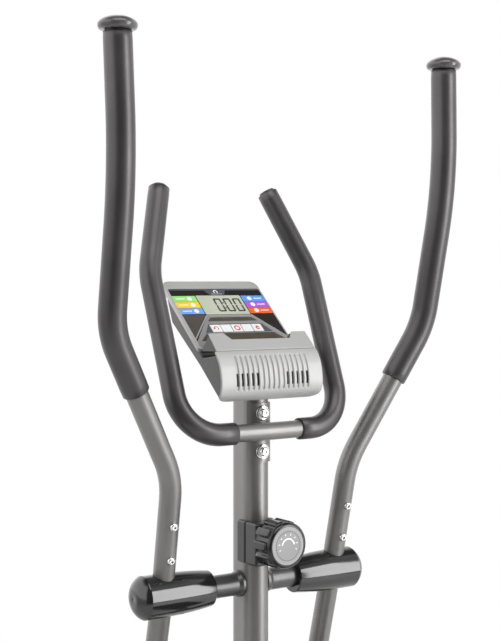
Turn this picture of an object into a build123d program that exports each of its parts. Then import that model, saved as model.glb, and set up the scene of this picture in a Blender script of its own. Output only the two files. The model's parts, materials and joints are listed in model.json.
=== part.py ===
from build123d import *
import math
import os

os.makedirs("parts", exist_ok=True)

# ---------------------------------------------------------------- driving dimensions, mm
base_length = 1180.0          # overall, front wheels to rear caps
mast_y = 360.0                # mast axis, ahead of the middle of the machine
axle_z = 800.0                # height of the swing arm axle above the floor

mast_width, mast_depth, mast_wall = 41.4, 61.4, 2.0
mast_bottom, mast_top = 230.0, axle_z + 316.0

arm_tube_d, arm_wall = 31.8, 1.5
spigot_d, spigot_wall = 28.0, 1.5
foam_d = 39.2
arm_swing_x = 153.0           # arm centre where it crosses the axle
lower_pivot_x, lower_pivot_z = 168.0, 300.0
lower_pivot_y = mast_y + 90.0

crank_y, crank_z, crank_r = -340.0, 300.0, 130.0
bar_rear_x = 112.0            # pedal bar centre at the crank pin
flywheel_y, flywheel_z = -85.0, 250.0

beam_width, beam_height, beam_wall = 40.0, 60.0, 2.0
stabiliser_r, stabiliser_z = 25.0, 35.0
front_stab_y, rear_stab_y = 520.0, -base_length / 2 + 32.0
beam_bottom = stabiliser_z + stabiliser_r
beam_top = beam_bottom + beam_height

bushing_clearance = 0.05
bolt_r = 4.0
sides = (("left", -1), ("right", 1))


def save(part_builder, label):
    part_builder.part.label = label
    export_step(part_builder.part, "parts/" + label + ".step")


def up(x, y, z):
    """A point given from the axle centre, in the machine's frame."""
    return (x, y + mast_y, z + axle_z)


def side_points(points):
    """(y, z) points given from the axle centre, in the machine's frame."""
    return [(y + mast_y, z + axle_z) for y, z in points]


def start_plane(path):
    return Plane(origin=path @ 0, z_dir=path % 0)


def plane_at(path, t):
    return Plane(origin=path @ t, z_dir=path % t)


# ---------------------------------------------------------------- main frame
post_clearance, post_wall, post_top = 0.2, 2.8, 340.0
post_width = mast_width + 2 * (post_clearance + post_wall)
post_depth = mast_depth + 2 * (post_clearance + post_wall)
bracket_x = (-34.0, 14.0)     # crank bearing tube, end to end
bracket_r, bearing_r, crank_axle_r = 25.0, 17.5, 10.0
dropout_x = (-38.0, 38.0)     # outer faces' inboard planes of the flywheel plates
dropout_thick, flywheel_axle_r = 4.0, 6.0
mast_bolt_z = (265.0, 315.0)
magnet_pivot_y, magnet_pivot_z = 20.0, 141.0
saddle_half, saddle_thick = 46.0, 3.0
saddle_bolt_x = 33.0

with BuildPart() as main_frame:
    with BuildSketch(Plane.XZ.offset(-front_stab_y)):
        with Locations((0, beam_bottom + beam_height / 2)):
            RectangleRounded(beam_width, beam_height, 5)
            RectangleRounded(beam_width - 2 * beam_wall, beam_height - 2 * beam_wall, 3, mode=Mode.SUBTRACT)
    extrude(amount=front_stab_y - rear_stab_y)
    for y in (front_stab_y, rear_stab_y):                 # saddles over the stabilisers
        with BuildSketch(Plane.YZ.offset(-saddle_half)):
            with Locations((y, stabiliser_z)):
                Circle(stabiliser_r + saddle_thick)
                Circle(stabiliser_r, mode=Mode.SUBTRACT)
            with Locations((y, stabiliser_z - 16)):
                Rectangle(90, 60, mode=Mode.SUBTRACT)
        extrude(amount=2 * saddle_half)
        with Locations(*[(x, y, beam_bottom) for x in (-saddle_bolt_x, saddle_bolt_x)]):
            Cylinder(bolt_r + 0.2, 20, mode=Mode.SUBTRACT)
    with BuildSketch(Plane.XY.offset(beam_top - 1)):      # post that takes the mast
        with Locations((0, mast_y)):
            SlotOverall(post_depth, post_width, rotation=90)
            SlotOverall(mast_depth + 2 * post_clearance, mast_width + 2 * post_clearance,
                        rotation=90, mode=Mode.SUBTRACT)
    extrude(amount=post_top - beam_top + 1)
    for z in mast_bolt_z:
        with Locations(Location((0, mast_y, z), (0, 90, 0))):
            Cylinder(bolt_r + 0.2, post_width + 10, mode=Mode.SUBTRACT)
    with BuildSketch(Plane.XY.offset(beam_top - 1)):      # crank post
        with Locations(((bracket_x[0] + bracket_x[1]) / 2, crank_y)):
            Rectangle(30, 40)
            Rectangle(26, 36, mode=Mode.SUBTRACT)
    extrude(amount=crank_z - beam_top - bracket_r + 6)
    with BuildSketch(Plane.YZ.offset(bracket_x[0])):      # crank bearing tube
        with Locations((crank_y, crank_z)):
            Circle(bracket_r)
    extrude(amount=bracket_x[1] - bracket_x[0])
    with BuildSketch(Plane.YZ.offset(bracket_x[0])):
        with Locations((crank_y, crank_z)):
            Circle(bearing_r)
    extrude(amount=bracket_x[1] - bracket_x[0], mode=Mode.SUBTRACT)
    with Locations((0, flywheel_y, beam_top + 2)):        # plate under the flywheel
        Box(2 * (dropout_x[1] + dropout_thick), 90, 4)
    for x in (dropout_x[0] - dropout_thick, dropout_x[1]):
        with BuildSketch(Plane.YZ.offset(x)):
            with BuildLine():
                Polyline((flywheel_y - 40, beam_top), (flywheel_y + 40, beam_top),
                         (flywheel_y + 18, flywheel_z + 18), (flywheel_y - 18, flywheel_z + 18), close=True)
            make_face()
            with Locations((flywheel_y, flywheel_z)):
                Circle(flywheel_axle_r, mode=Mode.SUBTRACT)
        extrude(amount=dropout_thick)
    for x in (-16.0, 12.0):                               # ears for the magnet bracket
        with BuildSketch(Plane.YZ.offset(x)):
            with BuildLine():
                Polyline((magnet_pivot_y - 7, beam_top), (magnet_pivot_y + 7, beam_top),
                         (magnet_pivot_y + 8, magnet_pivot_z + 8), (magnet_pivot_y - 8, magnet_pivot_z + 8),
                         close=True)
            make_face()
            with Locations((magnet_pivot_y, magnet_pivot_z)):
                Circle(4, mode=Mode.SUBTRACT)
        extrude(amount=4)
save(main_frame, "main_frame")

# ---------------------------------------------------------------- stabilisers, end caps, wheels
front_stab_half, rear_stab_half = 205.0, 250.0
front_cap_x, rear_cap_x = (173.0, 251.0), (214.0, 258.0)
cap_skin = 5.0
wheel_r, wheel_width, wheel_z = 28.0, 22.0, 32.0
wheel_y = base_length / 2 - wheel_r
wheel_x = 228.0

for label, y, half in (("front_stabiliser", front_stab_y, front_stab_half),
                       ("rear_stabiliser", rear_stab_y, rear_stab_half)):
    with BuildPart() as stabiliser:
        with BuildSketch(Plane.YZ.offset(-half)):
            with Locations((y, stabiliser_z)):
                Circle(stabiliser_r - 0.1)
                Circle(stabiliser_r - 2.1, mode=Mode.SUBTRACT)
        extrude(amount=2 * half)
        with Locations(*[(x, y, stabiliser_z) for x in (-saddle_bolt_x, saddle_bolt_x)]):
            Cylinder(bolt_r + 0.2, 80, mode=Mode.SUBTRACT)
    save(stabiliser, label)

with BuildPart() as front_end_caps:
    for _, s in sides:
        low = min(s * front_cap_x[0], s * front_cap_x[1])
        with BuildSketch(Plane.YZ.offset(low)):
            with Locations((front_stab_y, stabiliser_z)):
                Circle(stabiliser_r + cap_skin)
            with Locations((front_stab_y, stabiliser_z / 2)):
                RectangleRounded(44, stabiliser_z, 4)
            with BuildLine():
                Polyline((front_stab_y, 12), (wheel_y + 2, wheel_z - 15), (wheel_y + 13, wheel_z - 6),
                         (wheel_y + 13, wheel_z + 6), (wheel_y + 2, wheel_z + 15), (front_stab_y, 62),
                         close=True)
            make_face()
        extrude(amount=front_cap_x[1] - front_cap_x[0])
        with BuildSketch(Plane.YZ.offset(s * wheel_x - wheel_width / 2 - 1)):      # wheel slot
            with Locations((wheel_y, wheel_z)):
                Circle(wheel_r + 3)
        extrude(amount=wheel_width + 2, mode=Mode.SUBTRACT)
        with BuildSketch(Plane.YZ.offset(s * front_cap_x[0])):             # socket for the tube
            with Locations((front_stab_y, stabiliser_z)):
                Circle(stabiliser_r)
        extrude(amount=s * (front_stab_half - front_cap_x[0]), mode=Mode.SUBTRACT)
        with Locations(Location((s * wheel_x, wheel_y, wheel_z), (0, 90, 0))):
            Cylinder(bolt_r, 2 * (front_cap_x[1] - wheel_x) + 20, mode=Mode.SUBTRACT)
save(front_end_caps, "front_end_caps")

with BuildPart() as rear_end_caps:
    for _, s in sides:
        with BuildSketch(Plane.YZ.offset(s * rear_cap_x[0])):
            with Locations((rear_stab_y, stabiliser_z)):
                Circle(base_length / 2 + rear_stab_y)
            with Locations((rear_stab_y, stabiliser_z / 2)):
                RectangleRounded(48, stabiliser_z, 4)
        extrude(amount=s * (rear_cap_x[1] - rear_cap_x[0]))
        with BuildSketch(Plane.YZ.offset(s * rear_cap_x[0])):
            with Locations((rear_stab_y, stabiliser_z)):
                Circle(stabiliser_r)
        extrude(amount=s * (rear_stab_half - rear_cap_x[0]), mode=Mode.SUBTRACT)
save(rear_end_caps, "rear_end_caps")

for side, s in sides:
    with BuildPart() as wheel:
        with BuildSketch(Plane.YZ.offset(s * wheel_x - wheel_width / 2)):
            with Locations((wheel_y, wheel_z)):
                Circle(wheel_r)
                Circle(bolt_r + bushing_clearance, mode=Mode.SUBTRACT)
        extrude(amount=wheel_width)
        fillet(wheel.edges().filter_by(GeomType.CIRCLE).group_by(SortBy.RADIUS)[-1], 3)
    save(wheel, side + "_wheel")

# bolts: through the saddles, through post and mast, and the wheels' axles
saddle_bolt_low = 5.0
wheel_bolt_x = front_cap_x[1] - wheel_x
with BuildPart() as frame_bolts:
    for y in (front_stab_y, rear_stab_y):
        for x in (-saddle_bolt_x, saddle_bolt_x):
            top = stabiliser_z + stabiliser_r + saddle_thick
            with Locations((x, y, (top + saddle_bolt_low) / 2)):
                Cylinder(bolt_r, top - saddle_bolt_low)
            with Locations((x, y, top + 3)):
                Cylinder(7.5, 6)
    for z in mast_bolt_z:
        with Locations(Location((0, mast_y, z), (0, 90, 0))):
            Cylinder(bolt_r, post_width + 12)
        for s in (-1, 1):
            with Locations(Location((s * (post_width / 2 + 3), mast_y, z), (0, 90, 0))):
                Cylinder(7.5, 6)
    for s in (-1, 1):
        with Locations(Location((s * wheel_x, wheel_y, wheel_z), (0, 90, 0))):
            Cylinder(bolt_r, 2 * wheel_bolt_x)
        with Locations(Location((s * (front_cap_x[1] + 2), wheel_y, wheel_z), (0, 90, 0))):
            Cylinder(6.5, 4)
save(frame_bolts, "frame_bolts")

# ---------------------------------------------------------------- mast
axle_sleeve_r, axle_r = 16.8, 8.0
handlebar_bolt_z = (198.7, 255.8)
knob_z, spindle_r = 69.5, 5.0

with BuildPart() as mast:
    with BuildSketch(Plane.XY.offset(mast_bottom)):
        with Locations((0, mast_y)):
            SlotOverall(mast_depth, mast_width, rotation=90)
            SlotOverall(mast_depth - 2 * mast_wall, mast_width - 2 * mast_wall, rotation=90,
                        mode=Mode.SUBTRACT)
    extrude(amount=mast_top - mast_bottom)
    with Locations(Location(up(0, 0, 0), (0, 90, 0))):
        Cylinder(axle_sleeve_r, 60, mode=Mode.SUBTRACT)
    for z in mast_bolt_z:
        with Locations(Location((0, mast_y, z), (0, 90, 0))):
            Cylinder(bolt_r + 0.2, 60, mode=Mode.SUBTRACT)
    for z in handlebar_bolt_z:
        with Locations(Location(up(0, -30, z), (90, 0, 0))):
            Cylinder(bolt_r + 0.2, 20, mode=Mode.SUBTRACT)
    with Locations(Location(up(0, -30, knob_z), (90, 0, 0))):
        Cylinder(spindle_r + 1.5, 20, mode=Mode.SUBTRACT)
save(mast, "mast")

# ---------------------------------------------------------------- cross axle
flare_r, flare_x, sleeve_end, axle_end = 19.4, mast_width / 2, 104.0, 189.0
with BuildPart() as axle_sleeve:
    with BuildSketch(Plane.XY.offset(axle_z)):
        with BuildLine():
            Polyline((-sleeve_end, mast_y + axle_r), (sleeve_end, mast_y + axle_r),
                     (sleeve_end, mast_y + axle_sleeve_r), (flare_x + 10, mast_y + axle_sleeve_r),
                     (flare_x + 4, mast_y + flare_r), (flare_x, mast_y + flare_r),
                     (flare_x, mast_y + axle_sleeve_r),
                     (-flare_x, mast_y + axle_sleeve_r), (-flare_x, mast_y + flare_r),
                     (-flare_x - 4, mast_y + flare_r),
                     (-flare_x - 10, mast_y + axle_sleeve_r), (-sleeve_end, mast_y + axle_sleeve_r),
                     close=True)
        make_face()
    revolve(axis=Axis((0, mast_y, axle_z), (1, 0, 0)))
save(axle_sleeve, "axle_sleeve")

with BuildPart() as pivot_axle:
    with BuildSketch(Plane.YZ.offset(-axle_end)):
        with Locations((mast_y, axle_z)):
            Circle(axle_r)
    extrude(amount=2 * axle_end)
    for s in (-1, 1):                                     # retaining washer and bolt head
        with BuildSketch(Plane.YZ.offset(s * axle_end)):
            with Locations((mast_y, axle_z)):
                Circle(13)
        extrude(amount=s * 2.5)
        with BuildSketch(Plane.YZ.offset(s * (axle_end + 2.5))):
            with Locations((mast_y, axle_z)):
                RegularPolygon(7, 6)
        extrude(amount=s * 4)
save(pivot_axle, "pivot_axle")

# ---------------------------------------------------------------- swing arms
hub_r, hub_bore, hub_x = 19.0, 11.0, (126.0, 183.0)
handle_start, lower_start, lower_top = 24.0, 22.0, 125.0
grip_start = 299.0
arm_top, arm_top_x, arm_top_y = 779.0, 286.1, -112.2
handle_corner_z, bend_2_z = 172.8, 383.3
arm_bolt_z = (57.0, 107.0)
lean_x, lean_y = 0.0294, -0.2067                            # per mm of height, straight handle stretch
bolt_tilt = 90 + math.degrees(math.atan(-lean_y))         # bolts stand square to the handle
bolt_dir = Vector(0, -1, lean_y).normalized()
cap_r, cap_dome = 27.0, 20.5


def straight(s, z):
    """Centre of the handle's lower straight stretch at height z above the axle."""
    return up(s * (arm_swing_x - 0.2 + lean_x * z), 0.9 + lean_y * z, z)


for side, s in sides:
    handle_corner = straight(s, handle_corner_z)
    bend_2 = up(s * 275.8, -74.7, bend_2_z)
    bend_3 = up(s * 282.2, -118.3, 601)
    grip_end = up(s * arm_top_x, arm_top_y, arm_top)
    handle_end = tuple(b + 0.056 * (b - a) for a, b in zip(bend_3, grip_end))
    share = (grip_start - handle_corner_z) / (bend_2_z - handle_corner_z)
    grip_point = tuple(a + share * (b - a) for a, b in zip(handle_corner, bend_2))

    with BuildPart() as upper_arm:
        with BuildLine() as handle_path:
            FilletPolyline(straight(s, handle_start), handle_corner, bend_2, bend_3, handle_end,
                           radius=[128, 130, 700])
        with BuildSketch(start_plane(handle_path.line)):
            Circle(arm_tube_d / 2)
            Circle(arm_tube_d / 2 - arm_wall, mode=Mode.SUBTRACT)
        sweep()
        for z in arm_bolt_z:
            with Locations(Location(straight(s, z), (bolt_tilt, 0, 0))):
                Cylinder(3.2, 60, mode=Mode.SUBTRACT)
    save(upper_arm, side + "_upper_arm")

    with BuildPart() as arm_grip:
        with BuildLine() as grip_path:
            FilletPolyline(grip_point, bend_2, bend_3, grip_end, radius=[130, 700])
        with BuildSketch(start_plane(grip_path.line)):
            Circle(foam_d / 2)
            Circle(arm_tube_d / 2 + 0.1, mode=Mode.SUBTRACT)
        sweep()
    save(arm_grip, side + "_arm_grip")

    with BuildPart() as arm_cap:
        with BuildSketch(Plane.XZ.offset(-(mast_y + arm_top_y))):
            with BuildLine():
                x0, z0 = s * arm_top_x, axle_z + arm_top
                Line((x0, z0 + 11), (x0, z0 + cap_dome))
                ThreePointArc((x0, z0 + cap_dome), (x0 + 19, z0 + 16.2), (x0 + cap_r, z0 + 9))
                ThreePointArc((x0 + cap_r, z0 + 9), (x0 + cap_r - 1, z0 + 3.5), (x0 + cap_r - 4, z0 + 0.8))
                Polyline((x0 + cap_r - 4, z0 + 0.8), (x0 + arm_tube_d / 2 + 0.6, z0 + 0.8),
                         (x0 + arm_tube_d / 2 + 0.6, z0 + 11), (x0, z0 + 11))
            make_face()
        revolve(axis=Axis((s * arm_top_x, mast_y + arm_top_y, 0), (0, 0, 1)))
    save(arm_cap, side + "_arm_cap")

    with BuildPart() as lower_arm:
        with BuildLine() as lower_path:
            FilletPolyline(straight(s, lower_start), straight(s, -5), up(s * 150.7, 43.3, -170),
                           (s * lower_pivot_x, lower_pivot_y, lower_pivot_z), radius=[60, 160])
        with BuildSketch(start_plane(lower_path.line)):
            Circle(arm_tube_d / 2)
            Circle(arm_tube_d / 2 - arm_wall, mode=Mode.SUBTRACT)
        sweep()
        with BuildLine() as spigot_path:                  # inner tube the handle slips over
            Line(straight(s, lower_top), straight(s, 2))
        with BuildSketch(start_plane(spigot_path.line)):
            Circle(spigot_d / 2)
            Circle(spigot_d / 2 - spigot_wall, mode=Mode.SUBTRACT)
        sweep()
        with BuildSketch(Plane.YZ.offset(min(s * hub_x[0], s * hub_x[1]))):
            with Locations((mast_y, axle_z)):
                Circle(hub_r)
        extrude(amount=hub_x[1] - hub_x[0])
        with BuildSketch(Plane.YZ.offset(min(s * hub_x[0], s * hub_x[1]))):
            with Locations((mast_y, axle_z)):
                Circle(hub_bore)
        extrude(amount=hub_x[1] - hub_x[0], mode=Mode.SUBTRACT)
        with BuildSketch(Plane.YZ.offset(s * lower_pivot_x - 23)):
            with Locations((lower_pivot_y, lower_pivot_z)):
                Circle(16)
        extrude(amount=46)
        with BuildSketch(Plane.YZ.offset(s * lower_pivot_x - 23)):
            with Locations((lower_pivot_y, lower_pivot_z)):
                Circle(5 + bushing_clearance)
        extrude(amount=46, mode=Mode.SUBTRACT)
        for z in arm_bolt_z:
            with Locations(Location(straight(s, z), (bolt_tilt, 0, 0))):
                Cylinder(3.2, 60, mode=Mode.SUBTRACT)
    save(lower_arm, side + "_lower_arm")

    with BuildPart() as arm_bolts:
        for z in arm_bolt_z:
            centre = Vector(*straight(s, z))
            for offset, radius, height in ((0, 3.0, arm_tube_d + 8), (arm_tube_d / 2 + 1.7, 5.8, 3.2),
                                           (-arm_tube_d / 2 - 2.6, 5.5, 5.0)):
                with Locations(Location(centre + bolt_dir * offset, (bolt_tilt, 0, 0))):
                    Cylinder(radius, height)
    save(arm_bolts, side + "_arm_bolts")

    with BuildPart() as bushings:                         # flanged, one at each end of the hub
        for a, b in ((hub_x[0], hub_x[0] + 20), (hub_x[1] - 20, hub_x[1])):
            with BuildSketch(Plane.YZ.offset(min(s * a, s * b))):
                with Locations((mast_y, axle_z)):
                    Circle(hub_bore)
                    Circle(axle_r + bushing_clearance, mode=Mode.SUBTRACT)
            extrude(amount=b - a)
        for a in (hub_x[0] - 2, hub_x[1]):
            with BuildSketch(Plane.YZ.offset(min(s * a, s * (a + 2)))):
                with Locations((mast_y, axle_z)):
                    Circle(hub_bore + 4)
                    Circle(axle_r + bushing_clearance, mode=Mode.SUBTRACT)
            extrude(amount=2)
    save(bushings, side + "_bushings")

# ---------------------------------------------------------------- pivot covers, two halves on each arm
cover_outline = ((76.2, 26.2), (92.0, 28.1), (110.0, 29.7), (130.0, 30.8), (155.0, 31.3), (186.0, 31.4))
cover_end, cover_wall, cover_hole = 200.0, 2.4, 17.8

for side, s in sides:
    for half, h in (("front", 1), ("rear", -1)):
        with BuildPart() as cover:
            with BuildSketch(Plane.XY.offset(axle_z)):
                with BuildLine():
                    outer = [(s * x, mast_y + r) for x, r in cover_outline]
                    start = Polyline((s * 75.0, mast_y + cover_hole), (s * 75.0, mast_y + 25.0), outer[0])
                    rise = Spline(*outer)
                    dome = ThreePointArc(rise @ 1, (s * 196.5, mast_y + 22), (s * cover_end, mast_y))
                    Line(dome @ 1, (s * (cover_end - cover_wall), mast_y))
                    inside = ThreePointArc((s * (cover_end - cover_wall), mast_y), (s * 194, mast_y + 20.8),
                                           (s * 185.5, mast_y + cover_outline[-1][1] - cover_wall))
                    back = Spline(*[(s * x, mast_y + r - cover_wall) for x, r in cover_outline[-2:0:-1]],
                                  (s * 77.4, mast_y + 23.4))
                    Line(inside @ 1, back @ 0)
                    Line(back @ 1, (s * 77.4, mast_y + cover_hole))
                    Line((s * 77.4, mast_y + cover_hole), start @ 0)
                make_face()
            revolve(axis=Axis((0, mast_y, axle_z), (1, 0, 0)))
            with BuildLine() as through:                  # hole for the arm, both ways
                FilletPolyline(straight(s, 60), straight(s, -5), up(s * 151.3, 30.8, -120), radius=[60])
            with BuildSketch(start_plane(through.line)):
                Circle(arm_tube_d / 2 + 0.4)
            sweep(path=through.line, mode=Mode.SUBTRACT)
            split(bisect_by=Plane.XZ.offset(-mast_y), keep=Keep.BOTTOM if h > 0 else Keep.TOP)
        save(cover, side + "_cover_" + half)

# ---------------------------------------------------------------- fixed handlebar
bar_r, bar_foam_r = 13.0, 16.5
bar_centre_y = -45.0
bar_corner = (143.6, -40.5, 229.9)
bar_bend = (146.2, 49.6, 463.9)
bar_end = (100.3, 100.9, 592.6)
bar_foam_x = 57.0
saddle_z = (183.0, 271.0)
mast_round_y, mast_round_r = -(mast_depth - mast_width) / 2, mast_width / 2
saddle_angle, wedge = math.radians(62.0), 60.0
wedge_x, wedge_y = wedge * math.sin(saddle_angle), wedge * math.cos(saddle_angle)

with BuildPart() as fixed_handlebar:
    with BuildLine() as bar_path:
        corners = [up(-bar_end[0], *bar_end[1:]), up(-bar_bend[0], *bar_bend[1:]),
                   up(-bar_corner[0], *bar_corner[1:]), up(0, bar_centre_y, bar_corner[2]),
                   up(*bar_corner), up(*bar_bend), up(*bar_end)]
        FilletPolyline(*corners, radius=[120, 65, 500, 65, 120])
    with BuildSketch(start_plane(bar_path.line)):
        Circle(bar_r)
        Circle(bar_r - 1.5, mode=Mode.SUBTRACT)
    sweep()
    with BuildSketch(Plane.XY.offset(axle_z + saddle_z[0])):
        with Locations((0, mast_y + mast_round_y)):
            Circle(mast_round_r + 3.0)
            Circle(mast_round_r + 0.2, mode=Mode.SUBTRACT)
        with BuildLine():                                 # keep the part of the ring behind the mast
            apex = (0, mast_y + mast_round_y)
            Polyline(apex, (-wedge_x, apex[1] - wedge_y), (wedge_x, apex[1] - wedge_y), close=True)
        make_face(mode=Mode.INTERSECT)
    extrude(amount=saddle_z[1] - saddle_z[0])
    for z in handlebar_bolt_z:
        with Locations(Location(up(0, -30, z), (90, 0, 0))):
            Cylinder(bolt_r + 0.2, 20, mode=Mode.SUBTRACT)
save(fixed_handlebar, "fixed_handlebar")

for side, s in sides:
    with BuildPart() as bar_grip:
        share = bar_foam_x / bar_corner[0]
        foam_start = up(s * bar_foam_x, bar_centre_y + share * (bar_corner[1] - bar_centre_y),
                        bar_corner[2])
        with BuildLine() as foam_path:
            FilletPolyline(foam_start, up(s * bar_corner[0], *bar_corner[1:]),
                           up(s * bar_bend[0], *bar_bend[1:]), up(s * bar_end[0], *bar_end[1:]),
                           radius=[65, 120])
        with BuildSketch(start_plane(foam_path.line)):
            Circle(bar_foam_r)
            Circle(bar_r + 0.1, mode=Mode.SUBTRACT)
        sweep()
    save(bar_grip, side + "_handlebar_grip")

with BuildPart() as handlebar_plugs:
    for s in (-1, 1):
        a, b = Vector(*up(s * bar_bend[0], *bar_bend[1:])), Vector(*up(s * bar_end[0], *bar_end[1:]))
        along = (b - a).normalized()
        with BuildSketch(Plane(origin=b - along * 14, z_dir=along)):
            Circle(bar_r - 1.6)
        extrude(amount=14)
        with BuildSketch(Plane(origin=b, z_dir=along)):
            Circle(bar_foam_r - 2)
        extrude(amount=4.5, taper=20)
save(handlebar_plugs, "handlebar_plugs")

with BuildPart() as handlebar_bolts:
    for z in handlebar_bolt_z:
        face_y = mast_round_y - mast_round_r - 3.0
        with Locations(Location(up(0, face_y + 8, z), (90, 0, 0))):
            Cylinder(bolt_r, 22)
        with Locations(Location(up(0, face_y - 1.6, z), (90, 0, 0))):
            Cylinder(10.8, 3.0)
        with Locations(Location(up(0, face_y - 5.2, z), (90, 0, 0))):
            Cylinder(7.2, 4.4)
save(handlebar_bolts, "handlebar_bolts")

# ---------------------------------------------------------------- tension control
box_half, box_y, box_z = 27.0, (-54.0, -2.0), (34.0, 96.5)
knob_r, knob_face_r, knob_y, knob_lobes = 35.6, 30.6, (-97.0, -55.0), 10
knob_shoulder = 6.0

with BuildPart() as tension_box:
    with BuildSketch(Plane.XY.offset(axle_z + box_z[0])):
        with Locations((0, mast_y + (box_y[0] + box_y[1]) / 2)):
            RectangleRounded(2 * box_half, box_y[1] - box_y[0], 6)
    extrude(amount=box_z[1] - box_z[0])
    fillet(tension_box.edges().group_by(Axis.Z)[-1], 5)
    fillet(tension_box.edges().group_by(Axis.Z)[0], 5)
    with BuildSketch(Plane.XY.offset(axle_z)):
        with Locations((0, mast_y)):
            SlotOverall(mast_depth + 0.4, mast_width + 0.4, rotation=90)
    extrude(amount=130, mode=Mode.SUBTRACT)
    with Locations(Location(up(0, -45, knob_z), (90, 0, 0))):
        Cylinder(spindle_r + 0.05, 40, mode=Mode.SUBTRACT)
save(tension_box, "tension_box")

with BuildPart() as tension_knob:
    with BuildSketch(Plane.XZ.offset(-(mast_y + knob_y[1]))):
        with Locations((0, axle_z + knob_z)):
            Circle(knob_r)
            with PolarLocations(knob_r + 7.4, knob_lobes):
                Circle(9.4, mode=Mode.SUBTRACT)
    extrude(amount=knob_y[1] - knob_y[0] - knob_shoulder)
    with Locations(Location(up(0, knob_y[0] + knob_shoulder / 2, knob_z), (90, 0, 0))):
        Cone(knob_r - 0.2, knob_face_r, knob_shoulder)
    with Locations(Location(up(0, -39, knob_z), (90, 0, 0))):
        Cylinder(spindle_r, 34)
save(tension_knob, "tension_knob")

# ---------------------------------------------------------------- console
panel_half, vent_half, ledge_half = 88.0, 91.0, 87.0
panel_low = (0.0, 347.0)
panel_tilt = math.degrees(math.atan2(95, 108))
panel_low_t, panel_high_t = 6.0, 158.0
panel_thick = 6.0
console_plane = Plane(origin=up(0, *panel_low), x_dir=(1, 0, 0),
                      z_dir=(0, -math.sin(math.radians(panel_tilt)), math.cos(math.radians(panel_tilt))))
base_outline = [(-40, 344.5), (-52, 324), (-55, 303), (-48, 288), (7, 326), (89, 388), (104, 424),
                (99.6, 426.3), (0, 338.7)]
base_hollow = [(-41, 360), (-60, 330), (-62, 301), (-48, 292), (6, 330), (86, 390.5), (99, 424),
               (92, 430), (0, 350)]
vent_skin = [(-43, 349.5), (-52, 338), (-57, 327), (-60, 312), (-60.5, 300), (-57, 289), (-50, 281),
             (-44, 277)]

with BuildPart() as console_base:
    with BuildSketch(Plane.YZ.offset(-panel_half + 4)):
        with BuildLine():
            Polyline(*side_points(base_outline), close=True)
        make_face()
    extrude(amount=2 * (panel_half - 4))
    with BuildSketch(Plane.YZ.offset(-panel_half + 6.5)):
        with BuildLine():
            Polyline(*side_points(base_hollow), close=True)
        make_face()
    extrude(amount=2 * (panel_half - 6.5), mode=Mode.SUBTRACT)
    with BuildSketch(Plane.XY.offset(axle_z)):
        with Locations((0, mast_y)):
            SlotOverall(mast_depth + 0.6, mast_width + 0.6, rotation=90)
    extrude(amount=mast_top - axle_z + 0.5, mode=Mode.SUBTRACT)
save(console_base, "console_base")

key_x, key_t, key_size = (-37.6, 0.0, 37.6), 49.0, (16.0, 14.0)
lcd_t, lcd_size = 101.5, (80.0, 44.0)

with BuildPart() as console_panel:
    with BuildSketch(console_plane):
        with Locations((0, (panel_low_t + panel_high_t) / 2)):
            RectangleRounded(2 * panel_half, panel_high_t - panel_low_t, 9)
    extrude(amount=-panel_thick)
    with BuildSketch(console_plane):
        with Locations((0, lcd_t)):
            Rectangle(*lcd_size)
        with Locations(*[(x, key_t) for x in key_x]):
            RectangleRounded(key_size[0] + 0.8, key_size[1] + 0.8, 2)
    extrude(amount=-panel_thick, mode=Mode.SUBTRACT)
save(console_panel, "console_panel")

with BuildPart() as display_window:
    with BuildSketch(console_plane.offset(-1)):
        with Locations((0, lcd_t)):
            Rectangle(*lcd_size)
    extrude(amount=-3)
save(display_window, "display_window")

for name, x in zip(("left_button", "centre_button", "right_button"), key_x):
    with BuildPart() as button:
        with BuildSketch(console_plane.offset(0.9)):
            with Locations((x, key_t)):
                RectangleRounded(*key_size, 2)
        extrude(amount=-5.4)
    save(button, name)

with BuildPart() as circuit_board:
    with BuildSketch(console_plane.offset(-panel_thick - 2.5)):
        with Locations((0, 82)):
            Rectangle(120, 76)
    extrude(amount=-1.6)
save(circuit_board, "circuit_board")

with BuildPart() as console_ledge:
    with BuildSketch(Plane.YZ.offset(-ledge_half)):
        with BuildLine():
            Polyline(*side_points([(-43, 351.2), (-19, 375), (-15, 372.5), (1, 351.5), (0.5, 348.6),
                                   (-40, 350.2)]), close=True)
        make_face()
    extrude(amount=2 * ledge_half)
    ledge_tilt = math.radians(45)
    with BuildSketch(Plane(origin=up(0, -19, 375), x_dir=(1, 0, 0),
                           z_dir=(0, -math.sin(ledge_tilt), math.cos(ledge_tilt)))):
        with BuildLine():
            Polyline((-61, 6), (-61, 0), (-52, -13), (52, -13), (61, 0), (61, 6), close=True)
        make_face()
    extrude(amount=-40, both=True, mode=Mode.SUBTRACT)
save(console_ledge, "console_ledge")

groove_count, groove_pitch = 15, 8.86
with BuildPart() as vent_cover:
    with BuildSketch(Plane.YZ.offset(-vent_half)):
        with BuildLine():
            front = Spline(*side_points(vent_skin))
            rear = Spline(*side_points([(-40.5, 346.8), (-48.5, 336), (-53.4, 326), (-56.4, 312),
                                        (-56.9, 301), (-53.8, 291), (-47.5, 284.4), (-42, 281)]))
            Line(front @ 0, rear @ 0)
            Line(front @ 1, rear @ 1)
        make_face()
    extrude(amount=2 * vent_half)
    with BuildSketch(Plane.XZ.offset(-(mast_y - 40))):
        for i in range(groove_count):
            x = (i - (groove_count - 1) / 2) * groove_pitch
            if abs(x) > 24:
                with Locations((x, axle_z + 308)):
                    SlotOverall(18, 3, rotation=90)
    extrude(amount=40, mode=Mode.SUBTRACT)
save(vent_cover, "vent_cover")

# ---------------------------------------------------------------- crank set
crank_x = (62.0, 78.0)
pulley_x, pulley_r, pulley_seat = (20.0, 32.0), 131.0, 127.0
belt_gap, belt_thick, belt_width = 0.5, 3.0, 9.0
small_pulley_r, small_seat = 25.0, 22.0
flywheel_r, flywheel_x = 120.0, (-16.0, 4.0)

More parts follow.
